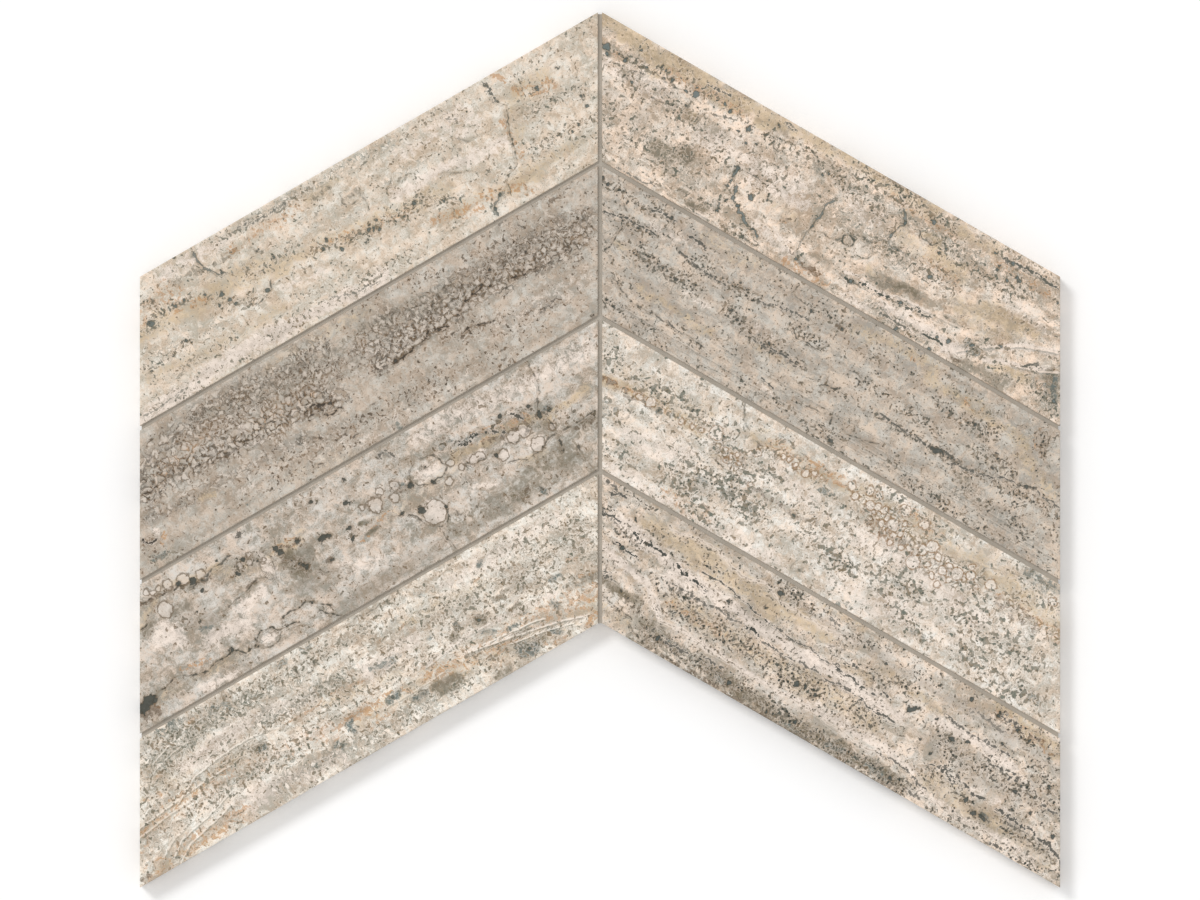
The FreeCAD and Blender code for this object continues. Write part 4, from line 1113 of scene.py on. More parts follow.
# Marks painted over the body, the same in every stone: the colour, how much of the body it
# hides, and how far noise breaks it into specks.
PAINTS = {
    "grey": ((180, 170, 158), 0.55, 2.5),
    "tan": ((204, 181, 148), 0.8, 1.5),
    "pale": ((240, 225, 212), 0.85, 1.8),
    "olive": ((134, 125, 108), 0.8, 3.5),
    "rust": ((190, 144, 98), 0.75, 6.0),
    "brown": ((98, 80, 60), 0.8, 4.0),
    "teal": ((112, 119, 112), 0.85, 4.5),
    "smudge": ((122, 111, 90), 0.85, 1.2),
    "blot": ((102, 112, 108), 0.9, 1.8),
}
SLATE = (108, 120, 119)  # the middles of veins and spots
BROWN = (146, 112, 76)  # mixed with a stone's specks for the softer edges of its marks
COOL = (0.935, 1.0, 1.035, 1)  # tints that multiply the stone's colour
WARM = (1.065, 1.0, 0.935, 1)

LINES = ("crack", "row", "vein", "lamina", "seam")
PITTED = ("crack", "row", "vein")
# Areas of colour and of crust. The place of a kind in this list sets its random seed.
MASKS = (
    "grey", "tan", "pale", "olive", "rust", "brown", "teal",
    "pores", "grains", "curds", "smudge", "blot",
)
MASK_SEED_STEP = 101
FAR = 3.0  # mm, past which the distance to a mark no longer matters
LATTICE = 96  # cells after which the random offsets repeat
BED_REACH = 7.0  # mm, how far the pull of a bed line reaches
BED_REST = 0.15  # what holds the bedding level, against the weight of the bed lines


def wander(points, size, seed):
    """Smooth offsets from -1 to 1, a pair for each point, that change over about size."""
    lattice = np.random.default_rng(seed).uniform(-1, 1, (LATTICE + 1, LATTICE + 1, 2))
    place = points / size + 40
    whole = np.floor(place).astype(int)
    part = place - whole
    part = (part * part * (3 - 2 * part))[:, :, None]
    column, row = (whole % LATTICE).T
    right, up = part[:, 0], part[:, 1]
    low = lattice[column, row] * (1 - right) + lattice[column + 1, row] * right
    high = lattice[column, row + 1] * (1 - right) + lattice[column + 1, row + 1] * right
    return low * (1 - up) + high * up


def distance(points, line):
    """How far each point lies from a line of points, or from a single point."""
    line = np.array(line, float)
    if len(line) == 1:
        return np.linalg.norm(points - line[0], axis=1)
    nearest = np.full(len(points), np.inf)
    for start, end in zip(line, line[1:]):
        run = end - start
        share = np.clip((points - start) @ run / (run @ run), 0, 1)
        gap = np.linalg.norm(points - start - share[:, None] * run, axis=1)
        nearest = np.minimum(nearest, gap)
    return nearest


def near(points, line, margin):
    """The numbers of the points that lie within margin of the box round a line."""
    low = np.min(line, axis=0) - margin
    high = np.max(line, axis=0) + margin
    return np.flatnonzero(np.all((points > low) & (points < high), axis=1))


def mask(points, strokes, seed):
    """Strength of one kind of mark at each point, from 0 to 1, with ragged edges."""
    bare = np.ones(len(points))
    for number, (strength, half_width, *line) in enumerate(strokes):
        close = near(points, line, 2.2 * half_width)
        coarse = wander(points[close], 2.2 * half_width, seed + number)
        fine = wander(points[close], 0.9 * half_width, seed + number + 50)
        ragged = points[close] + half_width * (0.45 * coarse + 0.25 * fine)
        reach = distance(ragged, line) / (1.45 * half_width)
        bare[close] *= 1 - strength * np.clip(1 - reach**2, 0, 1) ** 1.5
    return 1 - bare


def side_distance(points, line):
    """How far each point lies from a line of points, negative on the line's right side."""
    line = np.array(line, float)
    nearest = np.full(len(points), FAR)
    for start, end in zip(line, line[1:]):
        run = end - start
        share = np.clip((points - start) @ run / (run @ run), 0, 1)
        offset = points - start - share[:, None] * run
        left = run[0] * offset[:, 1] - run[1] * offset[:, 0]
        gap = np.linalg.norm(offset, axis=1) * np.where(left < 0, -1, 1)
        nearest = np.where(np.abs(gap) < np.abs(nearest), gap, nearest)
    return nearest


def line_marks(points, strokes, seed, jag):
    """Offset from the nearest line in its half widths, with a sign, and its strength."""
    offsets = np.full(len(points), FAR)
    strengths = np.zeros(len(points))
    jagged = points + jag * (wander(points, 3.1, seed) + 0.5 * wander(points, 1.3, seed + 1))
    for strength, half_width, *line in strokes:
        close = near(points, line, FAR)
        gap = side_distance(jagged[close], line)
        offset = gap / half_width
        nearer = np.abs(offset) < np.abs(offsets[close])
        chosen = close[nearer]
        offsets[chosen] = offset[nearer]
        strengths[chosen] = strength * np.clip(2 + (half_width - np.abs(gap[nearer])) / 0.6, 0, 1)
    return offsets, strengths


def disc_gap(points, discs, seed):
    """Distance to the nearest disc's rim in millimetres, negative inside it."""
    nearest = np.full(len(points), FAR)
    uneven = points + 0.35 * wander(points, 1.7, seed)
    for along, across, radius in discs:
        gap = np.linalg.norm(uneven - np.array((along, across)), axis=1) - radius
        nearest = np.minimum(nearest, gap)
    return nearest


def bed_height(points, beds):
    """Height of each point in the bedding, which follows the drawn beds."""
    along, across = points.T
    weight_sum = np.full(len(points), BED_REST)
    shift = np.zeros(len(points))
    for bed in beds:
        bed_along, bed_across = np.array(bed, float).T
        here = np.interp(along, bed_along, bed_across)
        weight = np.exp(-(((across - here) / BED_REACH) ** 2))
        shift += weight * (bed_across.mean() - here)
        weight_sum += weight
    return across + shift / weight_sum


def stone_marks(points, stone):
    """Every mark of a stone at each point, as one list of values for each kind."""
    seed = stone["seed"]
    marks = {"bed": bed_height(points, stone["beds"])}
    for number, kind in enumerate(MASKS):
        marks[kind] = mask(points, stone.get(kind, []), seed + MASK_SEED_STEP * number)
    for kind in LINES:
        strokes = stone.get(kind, [])
        if strokes:
            jag = 0.15 if kind == "seam" else 0.6
            marks[kind], marks[kind + "_on"] = line_marks(points, strokes, seed, jag)
    marks["beads"] = disc_gap(points, stone.get("beads", []), seed)
    marks["spots"] = disc_gap(points, stone.get("spots", []), seed + 7)
    return marks


class Nodes:
    """Short ways to add nodes to a shader tree."""

    def __init__(self, tree):
        self.tree = tree

    def add(self, kind, sockets=(), **settings):
        node = self.tree.nodes.new(kind)
        for name, value in settings.items():
            setattr(node, name, value)
        for key, value in dict(sockets).items():
            self.put(node.inputs[key], value)
        return node

    def put(self, socket, value):
        """Link a socket to another node's output, or set its plain value."""
        if isinstance(value, bpy.types.NodeSocket):
            self.tree.links.new(value, socket)
        else:
            socket.default_value = value

    def math(self, operation, first, second=0.0, third=0.0, clamp=False):
        sockets = {0: first, 1: second, 2: third}
        node = self.add("ShaderNodeMath", sockets, operation=operation, use_clamp=clamp)
        return node.outputs[0]

    def sum(self, *parts):
        total = parts[0]
        for part in parts[1:]:
            total = self.math("ADD", total, part)
        return total

    def times(self, *parts):
        product = parts[0]
        for part in parts[1:]:
            product = self.math("MULTIPLY", product, part)
        return product

    def swing(self, noise, gain):
        """Noise moved to vary about 0, times gain."""
        return self.math("MULTIPLY_ADD", noise, gain, -0.5 * gain)

    def ridge(self, noise):
        """How far noise is from its middle value, so that 0 is a line."""
        return self.math("ABSOLUTE", self.math("SUBTRACT", noise, 0.5))

    def vector(self, operation, first, second=(0, 0, 0)):
        sockets = {0: first, 1: second}
        return self.add("ShaderNodeVectorMath", sockets, operation=operation).outputs[0]

    def moved(self, place, warp, reach):
        """Place, moved by up to about reach as a colour noise says."""
        sockets = {0: warp, 1: (reach,) * 3, 2: place}
        node = self.add("ShaderNodeVectorMath", sockets, operation="MULTIPLY_ADD")
        return self.vector("SUBTRACT", node.outputs[0], (reach / 2,) * 3)

    def line(self, kind, jitter):
        """Distance from a drawn line in its half widths, and how strong the line is there."""
        offset = self.math("ABSOLUTE", self.sum(self.attribute(kind), jitter))
        return offset, self.attribute(kind + "_on")

    def attribute(self, name):
        return self.add("ShaderNodeAttribute", attribute_name=name).outputs["Fac"]

    def noise(self, place, size, detail=2.0, roughness=0.5, distortion=0.0):
        """Flat noise whose features are about size apart, in the units of place."""
        sockets = {
            "Vector": place,
            "Scale": 1 / size,
            "Detail": detail,
            "Roughness": roughness,
            "Distortion": distortion,
        }
        return self.add("ShaderNodeTexNoise", sockets, noise_dimensions="2D").outputs[0]

    def warp(self, place, size, detail=2.0, roughness=0.5):
        """Colour noise, for moving places about."""
        sockets = {"Vector": place, "Scale": 1 / size, "Detail": detail, "Roughness": roughness}
        return self.add("ShaderNodeTexNoise", sockets, noise_dimensions="2D").outputs["Color"]

    def cells(self, place, size, feature="F1"):
        sockets = {"Vector": place, "Scale": 1 / size}
        settings = {"voronoi_dimensions": "2D", "feature": feature}
        return self.add("ShaderNodeTexVoronoi", sockets, **settings)

    def bump(self, shader, height, strength, depth):
        """Roughen the shader's surface as height says, depth in millimetres."""
        sockets = {"Height": height, "Strength": strength, "Distance": depth * MM}
        self.put(shader.inputs["Normal"], self.add("ShaderNodeBump", sockets).outputs["Normal"])

    def object_place(self):
        """Place in the object, in millimetres."""
        place = self.add("ShaderNodeTexCoord").outputs["Object"]
        return self.vector("MULTIPLY", place, (1 / MM,) * 3)

    def remap(self, value, low, high, out_low=0.0, out_high=1.0):
        """Value from low to high, eased to out_low to out_high and held beyond them."""
        sockets = {"Value": value, "From Min": low, "From Max": high}
        sockets.update({"To Min": out_low, "To Max": out_high})
        node = self.add("ShaderNodeMapRange", sockets, interpolation_type="SMOOTHSTEP")
        return node.outputs["Result"]

    def mix(self, factor, first, second, blend="MIX"):
        node = self.add("ShaderNodeMix", data_type="RGBA", blend_type=blend)
        self.put(node.inputs["Factor"], factor)
        self.put(node.inputs[6], first)
        self.put(node.inputs[7], second)
        return node.outputs[2]


def new_material(name):
    """A material with only a Principled shader, its Nodes and the shader."""
    material = bpy.data.materials.new(name)
    material.use_nodes = True
    nodes = Nodes(material.node_tree)
    return material, nodes, material.node_tree.nodes["Principled BSDF"]


def stone_material(name, stone, rise):
    """Travertine: bedded body, painted marks, crust lines, pores, cracks and grit."""
    material, n, shader = new_material(name)
    place = n.add("ShaderNodeAttribute", attribute_name="place").outputs["Vector"]
    axes = n.add("ShaderNodeSeparateXYZ", {0: place}).outputs
    # The patterns are flat, and lean so that they also run down the sides
    along = n.sum(n.math("MULTIPLY_ADD", axes[2], -0.4 * rise, axes[0]), stone["seed"] * 7.0)
    across = n.sum(axes[1], axes[2])
    bed = n.sum(n.attribute("bed"), axes[2])
    flat = n.add("ShaderNodeCombineXYZ", {0: along, 1: across}).outputs[0]
    bedded = n.add("ShaderNodeCombineXYZ", {0: along, 1: bed}).outputs[0]

    warp = n.warp(flat, 4.0, 3.0, 0.6)
    ragged = n.moved(flat, warp, 4.5)
    uneven = n.moved(flat, warp, 1.6)
    bedded = n.moved(bedded, warp, 3.5)

    clouds = n.noise(n.vector("MULTIPLY", bedded, (0.05, 0.16, 0)), 1.0, 4.0, 0.65)
    streaks = n.noise(n.vector("MULTIPLY", bedded, (0.1, 0.9, 0)), 1.0, 2.0, 0.6)
    cluster = n.noise(n.vector("MULTIPLY", bedded, (0.09, 0.24, 0)), 1.0, 2.0, 0.5)
    chain = n.noise(n.vector("MULTIPLY", bedded, (0.1, 0.22, 0)), 1.0, 1.5, 0.5)
    mottle = n.noise(ragged, 2.4, 4.0, 0.7)
    crust = n.noise(ragged, 3.4, 2.5, 0.6)
    speck_noise = n.noise(uneven, stone["speck_size"], 2.0, 0.5)
    grit = n.noise(flat, 0.5, 1.0, 0.7)
    hue = n.noise(bedded, 6.0, 5.0, 0.8)

    tone = n.sum(n.swing(clouds, stone["clouds"]), n.swing(streaks, stone["streaks"]))
    tone = n.sum(tone, n.swing(mottle, 2.2), n.swing(crust, 0.9), n.swing(grit, 1.3))
    dark, light = (srgb(*colour) for colour in stone["body"])
    colour = n.mix(n.math("ADD", tone, 0.5, clamp=True), dark, light)
    cool = [part * stone["cool_glow"] for part in COOL]
    warm = [part * (2 - stone["cool_glow"]) for part in WARM]
    tint = n.mix(n.math("ADD", n.swing(hue, 4.6), 0.5, clamp=True), cool, warm)
    colour = n.mix(1.0, colour, tint, "MULTIPLY")

    # Painted marks, broken up by the noise
    shade = n.math("MULTIPLY_ADD", tone, 0.7, 0.5, clamp=True)
    for kind, (paint, cover, breakup) in PAINTS.items():
        if kind not in stone:
            continue
        strength = n.attribute(kind)
        specks = n.sum(n.swing(mottle, breakup), n.swing(speck_noise, max(0, breakup - 1.5)))
        specks = n.times(specks, n.remap(strength, 0.0, 0.4))
        factor = n.remap(n.sum(strength, specks, n.swing(grit, 0.5)), 0.2, 0.8, 0.0, cover)
        paint_dark = srgb(*(0.87 * level for level in paint))
        paint_light = srgb(*(min(255, 1.06 * level) for level in paint))
        colour = n.mix(factor, colour, n.mix(shade, paint_dark, paint_light))

    # Where the stone is crusty: along painted pores and grains, and in clusters
    pores = n.attribute("pores")
    grains = n.attribute("grains")
    dense = n.sum(n.swing(cluster, 1.6), n.times(pores, 1.1), stone["specks"] - 0.6)

    speck = srgb(*stone["speck"])
    ink = srgb(*(0.75 * level for level in stone["speck"]))
    slate = srgb(*SLATE)
    brown = srgb(*(0.35 * a + 0.65 * b for a, b in zip(stone["speck"], BROWN)))

    # Thin meandering outlines
    gate = n.remap(n.sum(dense, n.times(grains, 1.4), n.swing(mottle, 1.5)), -0.4, 0.7)
    outline = n.remap(n.ridge(crust), 0.005, 0.032, 1.0, 0.0)
    colour = n.mix(n.times(outline, gate, 0.7), colour, brown)

    # Curds: bold and fine crust lines round pale hearts
    if "curds" in stone:
        curds = n.remap(n.sum(n.attribute("curds"), n.swing(mottle, 1.4)), 0.1, 0.8)
        worm = n.noise(n.moved(flat, warp, 2.0), stone["curd_size"], 1.5, 0.5)
        bold = n.math("MULTIPLY_ADD", curds, 0.075, 0.015)
        line = n.remap(n.math("DIVIDE", n.ridge(worm), bold), 0.3, 1.0, 1.0, 0.0)
        line = n.times(line, n.remap(crust, 0.35, 0.55, 0.35, 1.0))
        fine = n.remap(n.ridge(mottle), 0.015, 0.055, 0.85, 0.0)
        heart = n.times(n.remap(worm, 0.56, 0.68, 0.0, 0.7), curds)
        colour = n.mix(heart, colour, light)
        colour = n.mix(n.times(n.math("MAXIMUM", line, fine), curds, 0.95), colour, speck)

    # Grains: cells with pale hearts and dark joints, broken by gaps
    if "grains" in stone:
        size = stone["grain_size"]
        cell_place = n.moved(flat, warp, 2.6)
        edge = n.cells(cell_place, size, "DISTANCE_TO_EDGE").outputs["Distance"]
        edge = n.sum(edge, n.swing(speck_noise, 0.35))
        strength = n.remap(n.sum(grains, n.swing(mottle, 1.6)), 0.15, 0.7)
        line = n.times(n.remap(edge, 0.02, 0.26 / size, 1.0, 0.0), strength)
        line = n.times(line, n.remap(crust, 0.42, 0.58, stone["grain_gaps"], 1.0))
        heart = n.times(n.remap(edge, 0.12, 0.3), strength)
        colour = n.mix(n.times(heart, 0.6), colour, light)
        line_colour = n.mix(n.remap(speck_noise, 0.4, 0.6), brown, speck)
        colour = n.mix(n.times(line, stone["grain_lines"]), colour, line_colour)

    # Beads: pale discs with an outline
    if "beads" in stone:
        rim = n.sum(n.attribute("beads"), n.swing(speck_noise, 1.6))
        inside = n.remap(rim, -0.3, 0.05, 0.75, 0.0)
        outline = n.times(n.remap(rim, -0.2, 0.1), n.remap(rim, 0.15, 0.75, 1.0, 0.0))
        colour = n.mix(inside, colour, n.mix(0.35, light, colour))
        colour = n.mix(n.times(outline, 0.8), colour, srgb(*stone["bead_edge"]))

    # Laminae: a pale line with a thin dark one in its middle
    jitter = n.swing(mottle, 2.4)
    if "lamina" in stone:
        offset, strength = n.line("lamina", jitter)
        colour = n.mix(n.times(n.remap(offset, 1.0, 2.4, 0.75, 0.0), strength), colour, light)
        shade = n.times(n.remap(offset, 0.2, 0.9, 0.6, 0.0), strength)
        colour = n.mix(n.times(shade, n.remap(speck_noise, 0.35, 0.6)), colour, brown)

    # Seams: a pale line with a dark one beside it, on its right
    if "seam" in stone:
        offset = n.sum(n.attribute("seam"), n.swing(mottle, 1.6), n.swing(speck_noise, 1.5))
        strength = n.attribute("seam_on")
        pale = n.times(n.remap(offset, -0.3, 0.3), n.remap(offset, 1.2, 2.4, 0.9, 0.0))
        pale = n.times(pale, strength)
        shade = n.times(n.remap(offset, -2.4, -1.4), n.remap(offset, -0.5, 0.0, 1.0, 0.0))
        shade = n.times(shade, strength)
        colour = n.mix(pale, colour, light)
        colour = n.mix(n.times(shade, n.remap(speck_noise, 0.35, 0.6, 0.5, 0.95)), colour, speck)

    # Pores: irregular specks and dots, thickest in clusters and along rows, with pale rims
    row = n.remap(n.ridge(chain), 0.0, 0.025, stone["chains"], 0.0)
    thick = n.sum(dense, row)
    level = n.math("MULTIPLY_ADD", thick, 0.16, speck_noise)
    rim = n.times(n.remap(level, 0.5, 0.59), n.remap(dense, -0.6, 0.6, 0.1, 0.4))
    colour = n.mix(rim, colour, light)
    halo = n.remap(level, 0.6, 0.69)
    core = n.times(n.remap(level, 0.66, 0.70), n.remap(mottle, 0.3, 0.65, 0.95, 0.4))
    colour = n.mix(n.times(halo, 0.45), colour, brown)
    core_colour = n.mix(n.remap(hue, 0.45, 0.65), speck, brown)
    colour = n.mix(core, colour, core_colour)

    dots = n.cells(uneven, 1.5)
    dot_size = n.add("ShaderNodeSeparateXYZ", {0: dots.outputs["Color"]}).outputs[0]
    dot_size = n.sum(n.times(dot_size, 0.3), n.times(thick, 0.17), 0.25 * stone["dots"] - 0.28)
    dot = n.math("SUBTRACT", n.sum(dots.outputs["Distance"], n.swing(grit, 0.25)), dot_size)
    colour = n.mix(n.remap(dot, 0.0, 0.22, 0.4, 0.0), colour, brown)
    colour = n.mix(n.remap(dot, -0.04, 0.04, 0.95, 0.0), colour, ink)

    # Cracks, rows of pores, veins and spots, which lie in shallow pits
    if "crack" in stone:
        offset, strength = n.line("crack", jitter)
        bold = n.sum(offset, n.swing(crust, -3.5), n.swing(speck_noise, -3.5))
        colour = n.mix(n.times(n.remap(bold, 0.8, 2.4, 0.4, 0.0), strength), colour, brown)
        colour = n.mix(n.times(n.remap(bold, 0.0, 0.8, 0.9, 0.0), strength), colour, ink)
    if "row" in stone:
        offset, strength = n.line("row", jitter)
        broken = n.sum(offset, n.swing(speck_noise, -6.5), n.swing(grit, -2.0))
        colour = n.mix(n.times(n.remap(broken, 1.2, 2.4, 0.5, 0.0), strength), colour, light)
        colour = n.mix(n.times(n.remap(broken, 0.7, 1.1, 0.95, 0.0), strength), colour, ink)
    if "vein" in stone:
        offset, strength = n.line("vein", jitter)
        broken = n.sum(offset, n.swing(speck_noise, 3.5), n.swing(crust, 2.5))
        core = n.mix(n.remap(broken, 0.1, 0.7, stone["slate"], 0.0), ink, slate)
        colour = n.mix(n.times(n.remap(broken, 1.0, 2.4, 0.3, 0.0), strength), colour, brown)
        colour = n.mix(n.times(n.remap(broken, 0.7, 1.2, 0.85, 0.0), strength), colour, core)
    spot = n.sum(n.attribute("spots"), n.swing(mottle, 2.0), n.swing(speck_noise, 1.8))
    core = n.mix(n.remap(spot, -0.6, -0.15, stone["slate"], 0.0), ink, slate)
    colour = n.mix(n.remap(spot, -0.1, 0.6, 0.4, 0.0), colour, brown)
    colour = n.mix(n.remap(spot, -0.2, 0.1, 0.9, 0.0), colour, core)

    # Fine grit over all
    salt = n.remap(grit, 0.6, 0.76, 0.0, 0.6)
    colour = n.mix(n.times(salt, n.remap(dense, -0.5, 0.5, 0.2, 1.0)), colour, speck)

    n.put(shader.inputs["Base Color"], colour)
    n.put(shader.inputs["Roughness"], n.remap(mottle, 0.3, 0.7, 0.5, 0.66))
    shader.inputs["Specular IOR Level"].default_value = 0.35
    height = n.sum(n.times(grit, 0.3), n.times(n.remap(speck_noise, 0.6, 0.75), -1.0))
    n.bump(shader, height, 0.3, 0.15)
    return material


def linked_object(name, data):
    """A new object in the scene."""
    item = bpy.data.objects.new(name, data)
    bpy.context.scene.collection.objects.link(item)
    return item


def smooth_mesh(name, points, faces, sharpest):
    """A mesh that is shaded smooth, except over edges sharper than an angle in degrees."""
    mesh = bpy.data.meshes.new(name)
    mesh.from_pydata(points, [], faces)
    mesh.update()
    mesh.polygons.foreach_set("use_smooth", [True] * len(mesh.polygons))
    mesh.set_sharp_from_angle(angle=math.radians(sharpest))
    return mesh


def tile_points(length, width, shear, thickness):
    """One tile's points and faces: a fine grid over its face, rings round its edge and a
    coarse grid behind. Points are along, across and up from its back, in millimetres."""
    columns, rows, coarse = 360, 90, 3
    end_scale = 1 / math.cos(CHEVRON_ANGLE)
    # The rounded arris, then the sides, as (inset from the edge, drop below the face)
    arris_drop = 0.38
    insets = [(ARRIS, 0.0), (0.2, 0.05), (0.07, 0.16), (0.0, arris_drop)]
    insets += [(0.0, drop) for drop in np.linspace(arris_drop, thickness, 8)[1:]]

    def point(share_along, share_across, inset, drop):
        across = share_across * (width / 2 - inset)
        along = share_along * (length / 2 - inset * end_scale) + shear * across
        return along, across, thickness - drop

    steps_along = np.linspace(-1, 1, columns + 1)
    steps_across = np.linspace(-1, 1, rows + 1)
    points = [point(a, b, ARRIS, 0.0) for b in steps_across for a in steps_along]

    def face_index(column, row):
        return row * (columns + 1) + column

    rim = [(c, 0) for c in range(columns)]
    rim += [(columns, r) for r in range(rows)]
    rim += [(c, rows) for c in range(columns, 0, -1)]
    rim += [(0, r) for r in range(rows, 0, -1)]
    faces = [
        [face_index(c, r), face_index(c + 1, r), face_index(c + 1, r + 1), face_index(c, r + 1)]
        for r in range(rows)
        for c in range(columns)
    ]
    ring = [face_index(c, r) for c, r in rim]
    for inset, drop in insets[1:]:
        start = len(points)
        points += [point(steps_along[c], steps_across[r], inset, drop) for c, r in rim]
        below = list(range(start, start + len(rim)))
        for here in range(len(rim)):
            after = (here + 1) % len(rim)
            faces.append([ring[after], ring[here], below[here], below[after]])
        ring = below

    # The back, whose outer cells also take in the rim points between their corners
    on_rim = dict(zip(rim, ring))
    inner = {}
    for r in range(coarse, rows, coarse):
        for c in range(coarse, columns, coarse):
            inner[c, r] = len(points)
            points.append(point(steps_along[c], steps_across[r], 0.0, thickness))
    for r in range(0, rows, coarse):
        for c in range(0, columns, coarse):
            walk = [(c + i, r) for i in range(coarse)]
            walk += [(c + coarse, r + i) for i in range(coarse)]
            walk += [(c + coarse - i, r + coarse) for i in range(coarse)]
            walk += [(c, r + coarse - i) for i in range(coarse)]
            cell = [on_rim.get(spot, inner.get(spot)) for spot in walk]
            faces.append([index for index in reversed(cell) if index is not None])

    return np.array(points), faces


def add_tile(node, stone):
    """The stone that stands for one CAD tile."""
    side = node.split("_")[0]
    low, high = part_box(node)
    middle = (low + high) / 2
    run = (high.x - low.x) / MM
    drop = (high.y - low.y) / MM - run * math.tan(CHEVRON_ANGLE)
    length = run / math.cos(CHEVRON_ANGLE)
    width = drop * math.cos(CHEVRON_ANGLE)
    shear = SIDES[side] * math.tan(CHEVRON_ANGLE)
    places, faces = tile_points(length, width, shear, (high.z - low.z) / MM)
    marks = stone_marks(places[:, :2], stone)

    # Pits in the face, under the painted spots, cracks and veins
    dip = SPOT_DEPTH * np.clip(0.5 - marks["spots"], 0, 1)
    for kind in PITTED:
        if kind in stone:
            inside = np.clip(1.8 - np.abs(marks[kind]), 0, 1) * marks[kind + "_on"]
            dip = np.maximum(dip, CRACK_DEPTH * inside)
    dip[places[:, 2] < places[:, 2].max() - 0.01] = 0

    turn = SIDES[side] * CHEVRON_ANGLE
    along, across, up = places.T
    spots = np.empty_like(places)
    spots[:, 0] = middle.x + MM * (along * math.cos(turn) - across * math.sin(turn))
    spots[:, 1] = middle.y + MM * (along * math.sin(turn) + across * math.cos(turn))
    spots[:, 2] = low.z + MM * (up - dip)

    mesh = smooth_mesh(node + "_stone", spots.tolist(), faces, 50)
    mesh.attributes.new("place", "FLOAT_VECTOR", "POINT")
    mesh.attributes["place"].data.foreach_set("vector", places.astype(np.float32).ravel())
    for kind, values in marks.items():
        mesh.attributes.new(kind, "FLOAT", "POINT")
        mesh.attributes[kind].data.foreach_set("value", values.astype(np.float32))
    mesh.materials.append(stone_material(node + "_travertine", stone, SIDES[side]))

    piece = linked_object(node + "_stone", mesh)
    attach(piece, "root")
    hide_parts(node)


for node_name, stone_recipe in STONES.items():
    add_tile(node_name, stone_recipe)


def grout_material():
    """Sanded cement grout: warm grey with fine pale and dark sand."""
    material, n, shader = new_material("sanded_grout")
    place = n.object_place()
    axes = n.add("ShaderNodeSeparateXYZ", {0: place}).outputs
    leaning = n.times(axes[2], 0.7)
    sockets = {0: n.sum(axes[0], leaning), 1: n.sum(axes[1], leaning)}
    flat = n.add("ShaderNodeCombineXYZ", sockets).outputs[0]
    sand = n.noise(flat, 0.4, 2.0, 0.7)
    cloud = n.noise(flat, 9.0, 3.0, 0.6)
    tone = n.sum(n.swing(sand, 0.5), n.swing(cloud, 1.2))
    colour = n.mix(n.math("ADD", tone, 0.5, clamp=True), srgb(168, 160, 148), srgb(190, 182, 170))
    n.put(shader.inputs["Base Color"], colour)
    shader.inputs["Roughness"].default_value = 0.9
    shader.inputs["Specular IOR Level"].default_value = 0.25
    n.bump(shader, sand, 0.5, 0.12)
    return material


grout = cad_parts["joint_grout"]
grout.data.materials.clear()
grout.data.materials.append(grout_material())


# Backing mesh, woven from flat glass threads
THREAD_PITCH = 5.0  # mm, as all four
THREAD_HALF_WIDTH = 0.45
THREAD_HALF_THICKNESS = 0.12
THREAD_SWAY = 0.125  # how far a thread rises or sinks where it crosses another


def thread_points(fixed, start, end, turned, first_sign, middle):
    """The middle line of one thread, which rises and sinks at each crossing."""
    half_pitch = THREAD_PITCH / 2
    steps = np.arange(math.ceil(start / half_pitch), math.floor(end / half_pitch) + 1)
    places = np.concatenate([[start], steps * half_pitch, [end]])
    places = places[np.concatenate([[True], np.diff(places) > 0.05])]
    sway = first_sign * THREAD_SWAY * np.cos(math.pi * places / THREAD_PITCH)
    line = np.zeros((len(places), 3))
    line[:, 1 if turned else 0] = places
    line[:, 0 if turned else 1] = fixed
    line[:, 2] = middle + sway
    return line


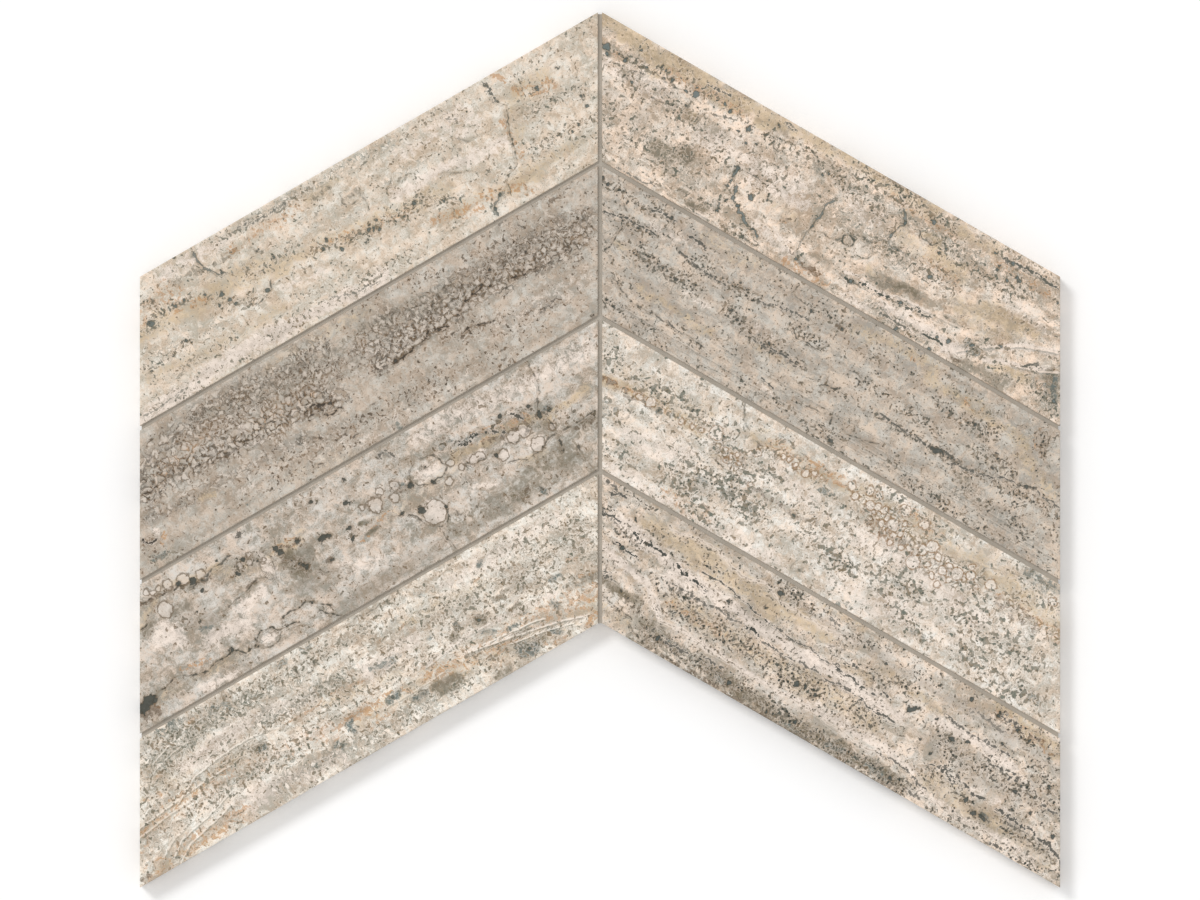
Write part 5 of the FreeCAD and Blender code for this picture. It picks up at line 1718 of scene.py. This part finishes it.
def add_backing_mesh():
    """Threads along and up the sheet, cut off along the outline of the CAD sheet."""
    low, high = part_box("backing_mesh")
    half_run = high.x / MM
    slope = math.tan(CHEVRON_ANGLE)
    apex = high.y / MM
    fall = (high.y - low.y) / MM - half_run * slope
    middle = (high.z + low.z) / 2 / MM
    lines = []
    for column in range(-int(half_run / THREAD_PITCH), int(half_run / THREAD_PITCH) + 1):
        across = column * THREAD_PITCH
        top = apex - abs(across) * slope
        sign = 1 if column % 2 else -1
        lines.append((thread_points(across, top - fall, top, True, sign, middle), 0))
    for row in range(math.ceil(low.y / MM / THREAD_PITCH), int(apex / THREAD_PITCH) + 1):
        up = row * THREAD_PITCH
        outer = min(half_run, (apex - up) / slope)
        inner = (apex - fall - up) / slope
        sign = -1 if row % 2 else 1
        spans = [(-outer, outer)] if inner <= 0 else [(-outer, -inner), (inner, outer)]
        for start, end in spans:
            if end - start > 1:
                lines.append((thread_points(up, start, end, False, sign, middle), 1))

    corners = 6
    turns = np.arange(corners) * 2 * math.pi / corners
    points, faces = [], []
    for line, side_axis in lines:
        first = len(points)
        for spot in line:
            for turn in turns:
                corner = np.array(spot)
                corner[side_axis] += THREAD_HALF_WIDTH * math.cos(turn)
                corner[2] += THREAD_HALF_THICKNESS * math.sin(turn)
                points.append(tuple(corner * MM))
        for ring in range(len(line) - 1):
            here = first + ring * corners
            for corner in range(corners):
                after = (corner + 1) % corners
                quad = [here + corner, here + after]
                quad += [here + corners + after, here + corners + corner]
                faces.append(quad if side_axis == 1 else quad[::-1])
        near_end = list(range(first, first + corners))
        far_end = list(range(len(points) - corners, len(points)))
        faces.append(near_end[::-1] if side_axis == 1 else near_end)
        faces.append(far_end if side_axis == 1 else far_end[::-1])
    mesh = smooth_mesh("backing_mesh_threads", points, faces, 70)
    mesh.materials.append(thread_material())
    piece = linked_object("backing_mesh_threads", mesh)
    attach(piece, "root")
    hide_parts("backing_mesh")


def thread_material():
    """White glass fibre in a soft coat."""
    material, n, shader = new_material("glass_threads")
    place = n.object_place()
    fibres = n.noise(place, 0.18, 2.0, 0.6)
    coat = n.noise(place, 3.0, 2.0, 0.6)
    colour = n.mix(coat, (0.66, 0.66, 0.62, 1), (0.84, 0.84, 0.82, 1))
    colour = n.mix(n.remap(fibres, 0.3, 0.6, 0.25, 0.0), colour, (0.45, 0.45, 0.42, 1))
    n.put(shader.inputs["Base Color"], colour)
    n.put(shader.inputs["Roughness"], n.remap(fibres, 0.3, 0.7, 0.4, 0.6))
    n.bump(shader, fibres, 0.4, 0.05)
    return material


add_backing_mesh()

# Floor, white, with a faint glow that only the camera sees
FLOOR_HALF = 6.0
FLOOR_GLOW = 0.04
floor_mesh = bpy.data.meshes.new("floor")
corners = [(x * FLOOR_HALF, y * FLOOR_HALF, 0) for x, y in ((-1, -1), (1, -1), (1, 1), (-1, 1))]
floor_mesh.from_pydata(corners, [], [(0, 1, 2, 3)])
floor = linked_object("floor", floor_mesh)
floor_material, floor_nodes, floor_shader = new_material("floor")
floor_shader.inputs["Base Color"].default_value = (1.0, 1.0, 1.0, 1)
floor_shader.inputs["Roughness"].default_value = 1.0
floor_shader.inputs["Specular IOR Level"].default_value = 0.0
floor_shader.inputs["Emission Color"].default_value = (1, 1, 1, 1)
camera_ray = floor_nodes.add("ShaderNodeLightPath").outputs["Is Camera Ray"]
glow = floor_nodes.times(camera_ray, FLOOR_GLOW)
floor_nodes.put(floor_shader.inputs["Emission Strength"], glow)
floor_mesh.materials.append(floor_material)

# Light: an even world and a soft sun high on the left behind the sheet
SUN_SHARE = 0.25
SUN_HEIGHT = math.radians(54)
SUN_TURN = math.radians(45)
SUN_ANGLE = math.radians(16)  # how wide it looks, which softens the shadows
world = bpy.data.worlds.new("studio")
bpy.context.scene.world = world
world.use_nodes = True
backdrop = world.node_tree.nodes["Background"]
backdrop.inputs["Color"].default_value = (1, 1, 1, 1)
backdrop.inputs["Strength"].default_value = 1 - SUN_SHARE
sun_data = bpy.data.lights.new("sun", "SUN")
sun_data.energy = SUN_SHARE * math.pi / math.sin(SUN_HEIGHT)
sun_data.angle = SUN_ANGLE
sun = linked_object("sun", sun_data)
sun.rotation_euler = (0, math.pi / 2 - SUN_HEIGHT, math.pi - SUN_TURN)

# Camera, straight above the sheet
VIEW_WIDTH = 1200 * 0.3405 * MM  # what the picture's width takes in, at the faces
LENS = 300.0
SENSOR_WIDTH = 36.0
camera_data = bpy.data.cameras.new("camera")
camera_data.lens = LENS
camera_data.sensor_width = SENSOR_WIDTH
camera_data.clip_end = 50.0
camera = linked_object("camera", camera_data)
camera.location = (0, 0, cad_high.z + VIEW_WIDTH * LENS / SENSOR_WIDTH)
bpy.context.scene.camera = camera
bpy.context.scene.view_settings.view_transform = "Standard"
